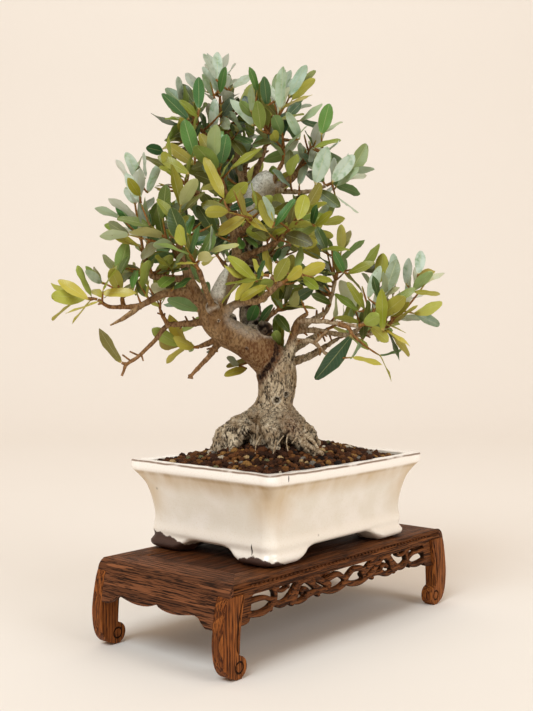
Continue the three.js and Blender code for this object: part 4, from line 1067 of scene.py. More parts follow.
def makeGranules(material):
    body = Body()
    rows = []
    edge = wallInside(soil["edge"] - 2) - 2.4
    tops = 20
    for i in range(tops + 1):
        points = rectangle(edge)[0] * max(1 - i / tops, 0.01)
        z = soilTop(points[:, 0], points[:, 1]) - soil["bare"] + 0.3
        rows.append(np.column_stack([points, z]))
    body.add(onPot(np.vstack(rows)), gridFaces(tops + 1, len(rows[0])))
    piece = body.build("soilGranules", outward=False)
    grown(piece, makeGranuleTree(material), {**granules, "Finish": material})
    return finished(piece, material, "soil", "soil")


def soilMaterial():
    material, shader, place = newMaterial("fired_clay_soil")
    tone = attribute("tone")
    grit = clouded(place, 1400.0, 4.0)
    shift = clouded(place, 120.0, 1.0)
    stone = ramp(tone,
                 [(0.0, "3a2010"), (0.2, "4d2c17"), (0.42, "62391c"), (0.6, "754824"), (0.76, "895a2c"),
                  (0.84, "1e1a18"), (0.87, "a87c42"), (0.915, "d0b07c"), (0.945, "8f8a80"),
                  (0.965, "e2d6bd"), (0.985, "7b7c56")], "CONSTANT")
    colour = blend(between(grit, 0.35, 0.7), stone, "2a1810", "MULTIPLY")
    colour = blend(0.75, stone, colour)
    colour = blend(shift * 0.35, colour, "2b1a0e")
    dress(shader, colour, ramp(grit, [(0.3, 0.75), (0.7, 0.98)]), bump(grit, 0.8, 0.8),
          **{"Specular IOR Level": 0.2})
    return material


# the trunk's core from below the soil to the fork: across, deep, height, radius
core = [[-12, 0, 152, 22], [-12, 0, 178, 22.5], [-12, 0, 190, 22.5], [-11, 0, 199, 21.5], [-8.5, 0, 208, 19],
        [-5, 0, 221, 18.2], [-3, 0, 236, 19.4], [-4, 0, 251, 19.8], [-7, 1, 263, 18], [-10, 2, 271, 12]]

# surface roots, each from inside the trunk down into the soil: across, deep, height, radius
roots = [
    [[-14, -3, 215, 11], [-27, -5, 200, 13], [-41, -7, 192, 14], [-53, -8, 181, 13.6], [-59, -9, 164, 11]],
    [[-1, 2, 216, 12], [8, 3, 202, 12], [19, 4, 190, 12.8], [27, 5, 178, 12.4], [32, 5, 162, 10]],
    [[-4, -8, 212, 11], [4, -17, 199, 10.5], [13, -23, 188, 9], [23, -28, 177, 6.5], [35, -33, 168, 3.4]],
    [[-12, -9, 211, 11], [-12, -19, 199, 9.6], [-9, -26, 189, 8], [-6, -30, 177, 6.4], [-4, -32, 164, 5]],
    [[-38, -8, 188, 9], [-46, -16, 180, 8], [-52, -22, 168, 6]],
    [[-6, 8, 214, 12], [0, 20, 198, 12.4], [6, 30, 183, 11.6], [10, 37, 164, 9]],
    [[-14, 8, 212, 12], [-22, 20, 197, 12], [-29, 30, 181, 11], [-32, 36, 164, 9]],
    [[-16, 6, 206, 11], [-34, 12, 192, 11], [-46, 17, 178, 9], [-50, 19, 164, 7]],
]

# points of each limb in the tree's own directions: across, deep, height, radius
limbs = {
    "rearTrunk": [[-10, 3, 256, 16], [-20, 10, 280, 14.5], [-29, 19, 304, 11.8], [-31, 25, 330, 10.2],
                  [-27, 28, 358, 9.6], [-28, 29, 384, 9.6], [-33, 27, 404, 10.6], [-30, 25, 418, 11.8],
                  [-22, 23, 432, 12.6], [-13, 21, 444, 11.6], [-8, 20, 450, 7]],
    "leftLimb": [[-4, 0, 252, 17], [-16, -5, 266, 17.2], [-34, -11, 279, 15.5], [-55, -17, 291, 14.6],
                 [-67, -20, 305, 13.4], [-69, -21, 318, 10.4], [-68, -22, 324, 6]],
    "chiselStub": [[-64, -26, 312, 9], [-60, -29, 330, 8.4], [-55, -31, 344, 5.6], [-50, -31, 354, 1.6]],
    "leader": [[-64, -18, 310, 9], [-56, -13, 329, 7.6], [-48, -8, 345, 6.6], [-43, -6, 362, 6],
               [-44, -4, 380, 5.6], [-47, -4, 396, 5], [-49, -6, 408, 4.2]],
    "leftArm": [[-69, -22, 310, 7.4], [-80, -27, 323, 6.2], [-87, -31, 337, 5.2], [-92, -34, 351, 4.2],
                [-97, -37, 364, 2.6]],
    "armUp": [[-92, -34, 352, 3.4], [-96, -42, 366, 2.8], [-98, -48, 380, 2.2]],
    "lowArm": [[-74, -22, 314, 5.8], [-91, -28, 327, 4.8], [-112, -35, 326, 4.1], [-124, -38, 320, 3.6],
               [-136, -41, 313, 3], [-149, -45, 303, 2.3], [-163, -49, 295, 1.6]],
    "farLeft": [[-134, -41, 314, 2.8], [-150, -39, 313, 2.3], [-166, -37, 314, 2], [-176, -35, 320, 1.7]],
    "farLeftUp": [[-151, -39, 313, 2.3], [-153, -35, 322, 1.8]],
    "padLimb": [[-89, -31, 340, 4], [-112, -25, 342, 3.3], [-126, -20, 345, 2.9], [-132, -18, 357, 2.5],
                [-134, -18, 366, 2.1]],
    "padRear": [[-91, -33, 350, 3.4], [-98, -20, 361, 2.9], [-105, -7, 370, 2.3]],
    "lowLeft": [[-72, -16, 300, 4.6], [-88, -10, 298, 3.5], [-100, -8, 297, 3.1], [-112, -8, 296, 2.7],
                [-123, -11, 282, 2.3], [-139, -15, 266, 1.9], [-152, -17, 256, 1.7], [-156, -18, 246, 1.2]],
    "lowLeftSpur": [[-151, -17, 257, 1.6], [-156, -18, 259, 1.4]],
    "lowLeftUp": [[-111, -8, 296, 2.3], [-116, -8, 304, 1.9], [-119, -8, 311, 1.6]],
    "lowLeaf": [[-57, -10, 284, 4.4], [-70, -3, 279, 3.1], [-80, 2, 275, 2.3]],
    "cutTwig": [[-58, -12, 283, 4.2], [-70, -8, 266, 2.7], [-81, -10, 254, 2.2], [-88, -11, 246, 1.9],
                [-89, -11, 243, 2.8]],
    "centreLow": [[-54, -24, 308, 5.6], [-44, -32, 316, 4.3], [-34, -37, 318, 3.8], [-22, -40, 319, 3.4],
                  [-12, -42, 326, 3], [-5, -43, 333, 2.6], [-5, -45, 339, 2.3], [-10, -46, 342, 2]],
    "innerTwig": [[-24, 15, 294, 4.6], [-12, 8, 304, 2.8], [-3, 2, 311, 2.1]],
    "centreRight": [[-11, -42, 328, 2.6], [1, -40, 336, 2.1]],
    "centreUp": [[-44, -6, 360, 4.4], [-30, -14, 366, 3.4], [-16, -20, 371, 3], [-4, -26, 377, 2.6],
                 [4, -30, 384, 2.3]],
    "midLeft": [[-48, -6, 401, 4.2], [-60, -14, 412, 3.3], [-74, -20, 421, 2.9], [-88, -25, 428, 2.3]],
    "midFront": [[-48, -6, 404, 3.8], [-52, -13, 420, 3], [-56, -17, 434, 2.4]],
    "crownLeft": [[-34, 26, 416, 6], [-40, 28, 444, 4.5], [-44, 30, 470, 3.7], [-54, 28, 491, 3],
                  [-60, 26, 508, 2.3]],
    "crownLow": [[-56, 23, 472.5, 2.9], [-72, 10, 473, 2.5], [-84, 4, 477, 2.1]],
    "crownSide": [[-43, 30, 461, 3.4], [-58, 22, 474, 2.8], [-72, 17, 486, 2.4], [-80, 15, 494, 2]],
    "crownRight": [[-27, 26, 424, 5], [-25, 32, 452, 3.5], [-19, 36, 468, 2.9], [-15, 38, 482, 2.4]],
    "crownFront": [[-9, 20, 438, 3.4], [-2, 11, 451, 2.4], [3, 6, 461, 2]],
    "crownBack": [[-38, 29, 446, 3.8], [-36, 48, 462, 2.8], [-33, 60, 476, 2.3]],
    "rightTop": [[-14, 21, 430, 5.6], [-2, 20, 437, 4.4], [14, 22, 448, 3.6], [24, 24, 463, 2.8],
                 [30, 25, 473, 2.3]],
    "rightMid": [[-4, 19, 434, 3.8], [16, 15, 431, 3], [34, 13, 432, 2.6], [46, 12, 437, 2.2]],
    "rightStub": [[3, -2, 254, 9], [9, -5, 268, 6.8], [12, -8, 282, 4.6], [15, -10, 295, 3.8],
                  [21, -12, 303, 3.2], [27, -13, 308, 2.2]],
    "rightLow": [[18, -11, 300, 4], [40, -20, 300, 3.2], [58, -26, 297, 2.8], [74, -30, 295, 2.3]],
    "hangSpur": [[57, -26, 297, 2.4], [66, -31, 293, 2], [69, -33, 287, 1.6]],
    "underTwig": [[-14, 8, 262, 4], [-24, 20, 262, 2], [-27, 23, 261, 1.6]],
    "rightFar": [[12, -7, 290, 4.6], [34, 0, 291, 3.8], [52, 6, 288, 3.4], [72, 10, 286, 3],
                 [92, 12, 288, 2.7], [107, 13, 294, 2.3]],
    "rightPad": [[71, 10, 286, 2.9], [82, -3, 296, 2.5], [90, -12, 305, 2.1]],
    "rightBare": [[10, -6, 276, 4.4], [22, -10, 281, 3.2], [34, -18, 278, 2.6], [46, -24, 266, 1.6]],
    "rightBareUp": [[33, -17, 278, 2.3], [45, -26, 290, 1.5]],
    "rightRear": [[4, 6, 258, 6.4], [22, 13, 262, 4.2], [36, 18, 268, 3.4], [50, 23, 277, 2.8],
                  [62, 27, 284, 2.3]],
    "rightUp": [[14, -8, 289, 4.6], [32, 4, 301, 3.6], [46, 8, 310, 3.1], [52, 10, 326, 2.7],
                [56, 12, 342, 2.3]],
    "backLeft": [[-31, 22, 326, 6], [-38, 44, 340, 4], [-50, 66, 352, 3.2], [-62, 84, 366, 2.3]],
    "backRight": [[-27, 26, 358, 6], [-10, 50, 370, 4], [8, 70, 380, 3.2], [22, 86, 392, 2.3]],
    "backUpper": [[-29, 28, 388, 5.6], [-40, 48, 404, 3.6], [-48, 66, 418, 2.8], [-54, 80, 430, 2.3]],
    "backLowLeft": [[-21, 12, 284, 6], [-34, 34, 292, 4], [-52, 56, 298, 3.2], [-70, 74, 304, 2.3]],
    "backLowRight": [[-2, 6, 264, 6], [18, 32, 274, 4], [34, 50, 283, 3.2], [50, 66, 292, 2.3]],
    "frontLeft": [[-62, -24, 303, 5.6], [-67, -46, 318, 3.5], [-72, -62, 332, 2.8], [-76, -76, 346, 2.3]],
    "frontMid": [[-44, -5, 378, 4.4], [-38, -24, 386, 3], [-31, -42, 394, 2.3]],
}

bark = {"voxel": 1.07, "thick": 5.5, "trunkSides": 24, "limbSides": 10, "smallestTwig": 0.75, "shootSides": 7,
        "shootSteps": 14, "rootSteps": 14, "spurs": 70, "seed": 31, "slimRight": 0.8}

# bumps of old wood that fill the fork: centre in the tree's own directions and radius
burls = [[-16, 4, 284, 9], [-16, -1, 290, 8.2], [-27, 0, 289, 7.5], [-40, -6, 292, 7],
         [-50, -10, 300, 7.5], [-2, -6, 262, 8], [-58, -18, 306, 9], [6, -14, 205, 7], [-26, -16, 208, 7],
         [30, -2, 184, 8], [-58, -4, 186, 8]]

# knots and scars: centre, the way they face, radius, and how far the rim stands up and the eye sinks
knots = [
    [[-15, -10, 291], [0.1, -1, 0.2], 8.2, 1.6, -1.2], [[-66, -34, 314], [-0.1, -0.9, 0.4], 5.5, 2.2, -1.2],
    [[-33, -26, 273], [0, -1, -0.2], 1.4, 0.6, -0.9], [[-60, -34, 300], [0, -1, 0], 1.2, 0.5, -0.8],
    [[-4, -21, 222], [0, -1, 0], 3.6, 0.5, -1.8], [[6, -18, 228], [0.2, -1, 0], 2.6, 0.2, -2.2],
    [[-30, 14, 352], [0, -1, 0], 4.5, 1.0, -1.5], [[-26, 16, 376], [0.3, -1, 0], 3.6, 0.8, -1.3],
]
# where the two limbs grow out of the trunk
forkLine = [[-54, -14, 308, 2], [-42, -6, 298, 2], [-28, 0, 295, 2], [-12, 2, 287, 2]]
# the dark cleft between the limb's brown bark and the trunk's grey bark
cleft = [[-24, -21, 240], [-17, -24, 248], [-9, -24, 258], [-4, -23, 268], [-3, -20, 277]]


def toTree(points):
    # from round the stand's middle back to the tree's own directions
    cos, sin = math.cos(tree["turn"]), math.sin(tree["turn"])
    x, y = points[:, 0] - pot["centre"][0], points[:, 1] - pot["centre"][1]
    return np.column_stack([x * cos - y * sin, x * sin + y * cos, points[:, 2]])


def placedLine(line):
    line = np.asarray(line, float)
    return placed(line[:, 0], line[:, 1], line[:, 2])


def limbLine(points, spacing):
    rows = np.array(points, float)
    length = np.sum(np.linalg.norm(np.diff(rows[:, :3], axis=0), axis=1))
    return curveThrough(points, max(6, int(length / spacing)))


def lineDistance(points, line):
    # how far each point is from a thick line, less the line's radius there
    line, best = np.asarray(line, float), np.full(len(points), 1e9)
    for a, b in zip(line[:-1], line[1:]):
        step = b[:3] - a[:3]
        share = np.clip(((points - a[:3]) @ step) / max(step @ step, 1e-9), 0, 1)
        near = np.linalg.norm(points - (a[:3] + share[:, None] * step), axis=1)
        best = np.minimum(best, near - (a[3] + share * (b[3] - a[3])))
    return best


def makeTrunk(material):
    body = Body()
    thick = {name: rows for name, rows in limbs.items() if max(row[3] for row in rows) >= bark["thick"]}
    for name, rows in [("core", core), *thick.items(), *[("root", rows) for rows in roots]]:
        line = limbLine(rows, 2.2)
        squash = 0.55 if name == "chiselStub" else 1.0
        body.add(*sweep(placedLine(line[:, :3]), line[:, 3], bark["trunkSides"], squash))
    for across, deep, height, radius in burls:
        angles = np.linspace(-math.pi / 2, math.pi / 2, 9)[1:-1]
        line = [[across, deep, height + radius * math.sin(a)] for a in angles]
        body.add(*sweep(placedLine(line), [radius * math.cos(a) for a in angles], 16))
    piece = body.build("trunkWood")
    remeshed(piece, bark["voxel"])
    relaxed(piece, 7)
    weatherBark(piece, thick)
    soften(piece)
    return finished(piece, material, "bark", "trunk_and_branches")


def barkNoise(places, scale, octaves, stretch=(1, 1, 1), ridged=False):
    made = np.zeros(len(places))
    for i, (x, y, z) in enumerate(places * (np.array(stretch) * scale)):
        at = Vector((x, y, z))
        if ridged:
            made[i] = noise.ridged_multi_fractal(at, 0.9, 2.1, octaves, 1.0, 2.0)
        else:
            made[i] = noise.fractal(at, 0.9, 2.1, octaves)
    return made


def weatherBark(piece, thick):
    # pushes the bark in and out, marks what kind of bark each point is, and marks where shade and highlights
    # are painted on it
    points = (vertexPlaces(piece) - standCentre) / mm
    local = toTree(points)
    normals = vertexNormals(piece)
    facing = toTree(normals + [*pot["centre"], 0])
    z = local[:, 2]
    weight = {name: np.exp(-np.clip(lineDistance(local, rows), 0, 60) / 2.5) + 1e-9
              for name, rows in thick.items()}
    # grey bark lies below and right of the cleft
    foot = 3.0 * smoothStep(5, -5, (z - 256) - 0.95 * (local[:, 0] + 13))
    total = foot + sum(weight.values())
    rear = weight["rearTrunk"] / total
    pale = np.maximum(rear * smoothStep(398, 412, z), weight["chiselStub"] / total * smoothStep(316, 326, z))
    rough = rear * smoothStep(285, 305, z) * smoothStep(404, 388, z)
    fork = smoothStep(14, 4, lineDistance(local, forkLine))
    fork = fork * smoothStep(0.0, 0.5, facing[:, 2] + 0.35)
    front = local * [1, 0, 1]
    fromSeam = lineDistance(front, [[row[0], 0, row[2], 0] for row in cleft])
    fromSeam = fromSeam + 1.2 * barkNoise(local, 0.4, 2) + 9 * smoothStep(-8, 0, local[:, 1])
    seam = smoothStep(3.4, 1.0, fromSeam)
    old = np.clip((foot + weight["rightStub"] * smoothStep(285, 265, z)) / total, 0, 1)
    rootZone = smoothStep(216, 196, z)
    broad = barkNoise(local, 0.05, 3)
    fine = barkNoise(local, 0.36, 3, (1, 1, 0.6))
    lumps = barkNoise(local, 0.12, 3)
    creases = barkNoise(local, 0.15, 3, (1, 1, 0.45), True) - 1.0
    # on the roots the cracks run outwards from the trunk
    out = local[:, :2] - [-12, 0]
    reach = np.linalg.norm(out, axis=1)
    fan = np.column_stack([30 * out / np.maximum(reach, 1)[:, None], 0.34 * (reach - z)])
    rootCreases = barkNoise(fan, 0.2, 3, (1, 1, 1), True) - 1.0
    pocks = smoothStep(0.3, 0.5, barkNoise(local + 40, 0.62, 2, (1, 1, 0.42)))
    detail = (old * (0.5 * fine - 0.25 * creases - 0.9 * pocks) + 0.16 * fine
              + rootZone * (1.2 * lumps + 0.4 * fine - 0.8 * rootCreases)
              + rough * (1.0 * creases + 0.7 * fine) + fork * (1.8 * lumps + 0.9 * fine - 1.0 * creases))
    seam = seam * (0.5 + 0.5 * smoothStep(-0.15, 0.2, fine))
    lift = 0.9 * broad + detail - 1.6 * seam
    crack = smoothStep(0.3, 0.75, creases)
    rootCrack = smoothStep(0.35, 0.75, rootCreases)
    # painted shade in the hollows between lumps, in the fork's cavities and in the cleft, together with the
    # bark's own dark cracks and pits
    dark = (old * (0.2 * crack + 0.9 * pocks)
            + rootZone * (0.8 * rootCrack + np.clip(-1.2 * lumps - 0.3, 0, 1))
            + rough * np.clip(0.1 - creases, 0, 1)
            + fork * (np.clip(0.15 - lumps, 0, 1) * 1.5 + 0.8 * crack))
    # the undersides of the lowest wood are painted dark as shade
    under = smoothStep(200, 176, z) * smoothStep(0.15, -0.5, facing[:, 2])
    for centre, way, radius, rim, sink in knots:
        way = np.array(way, float) / np.linalg.norm(way)
        away = local - np.array(centre, float)
        depth = away @ way
        flat = np.linalg.norm(away - depth[:, None] * way, axis=1) / radius
        here = smoothStep(12, 6, np.abs(depth)) * (facing @ way > -0.1)
        rings = np.sin(flat * 9 + 5 * lumps + 2 * fine)
        lift += here * (rim * np.exp(-((flat - 1) / 0.25) ** 2) + sink * smoothStep(0.95, 0.45, flat)
                        + 0.5 * rings * smoothStep(1.1, 0.8, flat))
        inner = here * smoothStep(1.0, 0.75, flat)
        dark = dark * (1 - inner) + inner * (0.85 - 0.35 * rings)
        # the pale ring on each knot's rim is a painted highlight
        pale = np.maximum(pale, 0.65 * here * np.exp(-((flat - 1.05) / 0.14) ** 2))
    lift *= 1 - 0.6 * smoothStep(452, 470, z)
    setPlaces(piece, (points + normals * lift[:, None]) * mm + standCentre)
    greyFork = 0.32 * smoothStep(16, 8, lineDistance(front, [[-42, 0, 304, 0], [-26, 0, 294, 0]]))
    fromCrevice = np.linalg.norm(front - [11, 0, 199], axis=1)
    crevice = np.exp(-(fromCrevice / 10) ** 2) * smoothStep(0, -8, local[:, 1])
    # the crook under the left limb is painted redder and darker as shade; the cleft's edges and a crevice by
    # the roots are made redder
    crook = 0.75 * (1 - old) * smoothStep(30, 12, lineDistance(front, [[-30, 0, 258, 0], [-12, 0, 272, 0]]))
    # 'raised' is a painted highlight on the tops of bumps; 'dark' holds painted shade together with the
    # bark's own cracks and pits
    marks = {"old": old, "rough": np.clip(rough + 0.6 * fork, 0, 1), "pale": np.maximum(pale, greyFork),
             "dark": np.clip(dark + 1.3 * seam + 0.8 * under, 0, 1), "raised": np.clip(0.9 * detail, 0, 1),
             "redBarkAndShade": np.clip(smoothStep(8, 3, fromSeam) + crevice + crook, 0, 1)}
    for name, values in marks.items():
        keepValues(piece, name, values)
    # the way the bark's fibres run: up the trunk, and outwards along the roots
    keepValues(piece, "flow", (local * [1, 1, 0.34] + rootZone[:, None] * (fan - local * [1, 1, 0.34])) * mm)


def knobbly(line, radii, rate, seed, flare=0.0):
    # a twig's radii with a swelling at each leaf scar, and a foot that widens into its parent
    steps = np.concatenate([[0], np.cumsum(np.linalg.norm(np.diff(line, axis=0), axis=1))])
    swell = np.maximum(0, np.cos(steps * 2 * math.pi / rate + seed)) ** 6
    wander = np.array([noise.noise(Vector((s * 0.13, seed * 3.7, 0.5))) for s in steps])
    return radii * (1 + 0.2 * swell + 0.09 * wander) + flare * np.exp(-steps / 4.5)


# thin roots that run out of the foot into the soil: where they are seen across and up, radius at both ends
fineRoots = [
    ([(-3.5, 188), (-4.5, 179), (-7, 166)], 0.9, 0.6), ([(5, 187), (1, 182), (-3, 176)], 0.7, 0.5),
    ([(13, 191), (8, 186), (6.5, 179), (8, 170)], 0.8, 0.5), ([(21, 187), (16, 183), (12, 178)], 0.8, 0.5),
    ([(16, 181), (29, 175), (43, 167)], 2.9, 1.9), ([(24, 186), (33, 180), (38, 172)], 2.2, 1.4),
    ([(-20, 184), (-24, 176), (-25, 167)], 0.7, 0.4),
]
fineRootDepth = (-22, -47)


def makeBranches(material, shoots):
    body = Body("young", "thin", "ashen")
    draw = randomBy(bark["seed"])
    slim = {name: rows for name, rows in limbs.items() if max(row[3] for row in rows) < bark["thick"]}
    spots = []
    sides, shootSides, count = bark["limbSides"], bark["shootSides"], bark["shootSteps"]
    for number, (name, rows) in enumerate(slim.items()):
        line = limbLine(rows, 1.7)
        wobble = np.array([[noise.noise(Vector((i * 0.16, number, k))) for k in (0, 7, 13)]
                           for i in range(len(line))])
        fade = np.minimum(1, np.minimum(np.arange(len(line)), np.arange(len(line))[::-1]) / 5)
        line[:, :3] += wobble * 0.9 * fade[:, None]
        radii = knobbly(line[:, :3], line[:, 3] * 0.96, 11, number, 0.35 * line[0, 3])
        young = smoothStep(2.9, 1.7, line[:, 3]) * 0.35
        if name.startswith("right"):
            radii = radii * bark["slimRight"]
        points, faces = sweep(placedLine(line[:, :3]), radii, sides)
        body.add(points, faces, young=np.repeat(young, sides), thin=np.repeat(smoothStep(5, 2, radii), sides),
                 ashen=float(name.startswith("right")) * 0.8 + 0.2 * draw())
        spots += [(line[i], line[i + 1] - line[i]) for i in range(4, len(line) - 2)]
    for number, shoot in enumerate(shoots):
        line = np.array([bezier(shoot["points"], t) for t in np.linspace(0, 1, count)])
        start, tip = shoot["radii"]
        radii = np.linspace(max(start * 0.8, 1.1), max(tip * 0.62, bark["smallestTwig"]), count)
        radii[-1] *= 0.55
        radii = knobbly(line, radii, 8, number + 50, 0.3 if start < 1.5 else 0.0)
        young = np.linspace(shoot.get("young", 0.55), 1, count)
        points, faces = sweep(placedLine(line), radii, shootSides)
        body.add(points, faces, young=np.repeat(young, shootSides), thin=1.0)
    for rows, start, end in fineRoots:
        depths = np.linspace(*fineRootDepth, len(rows))
        line = curveThrough([fromSeen(*spot, depth) for spot, depth in zip(rows, depths)], bark["rootSteps"])
        radii = knobbly(line, np.linspace(start, end, bark["rootSteps"]), 7, start * 9)
        points, faces = sweep(placedLine(line), radii, 8)
        body.add(points, faces, thin=1.0, ashen=1.0)
    for _ in range(bark["spurs"]):
        at, ahead = spots[int(draw() * len(spots))]
        ahead = unit(tuple(ahead[:3]))
        square = squareTo(ahead, 2 * math.pi * draw())
        way = unit(plus(plus(ahead, square[0], 1.1 + draw()), (0, 0, 0.3)))
        length = 3 + 7 * draw() ** 2
        start, end = tuple(at[:3]), plus(tuple(at[:3]), way, at[3] + length)
        bend = plus(halfway(start, end), square[1], length * 0.15 * (draw() - 0.5))
        line = np.array([bezier((start, bend, end), t) for t in np.linspace(0, 1, 6)])
        radii = np.linspace(min(1.5, at[3] * 0.6), 0.65 + 0.3 * draw(), 6)
        points, faces = sweep(placedLine(line), radii, 6)
        body.add(points, faces, young=0.15 + 0.2 * draw(), thin=1.0)
    piece = body.build("branchesAndTwigs")
    soften(piece, 60)
    return finished(piece, material, "bark", "trunk_and_branches")


def barkMaterial():
    material, shader, place = newMaterial("olive_bark")
    old, rough = attribute("old"), attribute("rough")
    pale, dark = attribute("pale"), attribute("dark")
    young, thin = attribute("young"), attribute("thin")
    middle = stretched(place, shift=[-v for v in standCentre])
    broad = clouded(middle, 45.0, 5.0, Roughness=0.6)
    fine = clouded(middle, 420.0, 5.0, Roughness=0.65)
    streak = clouded(stretched(middle, (1, 1, 0.5)), 480.0, 5.0)
    ashen, redBarkAndShade = attribute("ashen"), attribute("redBarkAndShade")
    tan = blend(between(broad, 0.3, 0.7), "745434", "a0845e")
    tan = blend(between(streak, 0.44, 0.62) * 0.65, tan, "4a3018")
    flow = put("Attribute", attribute_name="flow")["Vector"]
    fibre = clouded(flow, 330.0, 6.0, Roughness=0.7)
    bare = blend(between(broad, 0.35, 0.65), "968164", "ccbda1")
    bare = blend(between(fine, 0.5, 0.64) * 0.4, bare, "6b563e")
    bare = blend(between(fibre, 0.5, 0.6) * 0.75, bare, "46331f")
    scaly = blend(between(fine, 0.38, 0.66), "6f573d", "2c1d12")
    ash = blend(between(fine, 0.4, 0.7), "dddcd2", "a8a496")
    twig = blend(between(streak, 0.35, 0.65), "997550", "573b22")
    twig = blend(ashen, twig, blend(between(streak, 0.35, 0.65), "beae93", "856f54"))
    twig = blend(young, twig, blend(between(fine, 0.35, 0.65), "a87638", "7c4f26"))
    twig = blend(between(young, 0.82, 1.0), twig, "8f8a42")
    colour = blend(old, tan, bare)
    colour = blend(rough, colour, scaly)
    colour = blend(pale, colour, ash)
    colour = blend(thin, colour, twig)
    # painted highlight on the raised bark
    colour = blend(attribute("raised") * 0.6, colour, "dccfb6")
    # short upright nicks, small pits and broken cracks
    nicks = spotted(flow, 620.0, 0.09, 0.7)
    smallPits = spotted(middle, 820.0, 0.05, 0.6)
    where = compute("ADD", old * 0.95, rough * 0.5, True)
    pit = nicks * where
    pit = compute("MAXIMUM", pit, smallPits * (0.85 - thin * 0.5))
    level = clouded(flow, 150.0, 5.0, Distortion=0.4)
    crack = compute("ABSOLUTE", level - 0.5)
    crack = between(crack, 0.03, 0.006) * (between(broad, 0.4, 0.55) * where)
    pit = compute("MAXIMUM", pit, crack * 0.85)
    colour = blend(pit, colour, "23160c")
    # redder bark by the cleft, and painted shade in the crook under the limb
    colour = blend(redBarkAndShade * (0.35 + between(streak, 0.4, 0.6) * 0.45), colour, "5c3519")
    # painted shade in hollows, the cleft and under the lowest wood, with the bark's own dark cracks and pits
    colour = blend(dark, colour, blend(redBarkAndShade, "150d06", "200d05"))
    height = fine * 0.6 - pit
    height = height + streak * 0.3
    dress(shader, colour, ramp(fine, [(0.3, 0.66), (0.7, 0.9)]), bump(height, 0.9, 0.8),
          **{"Specular IOR Level": 0.2})
    return material


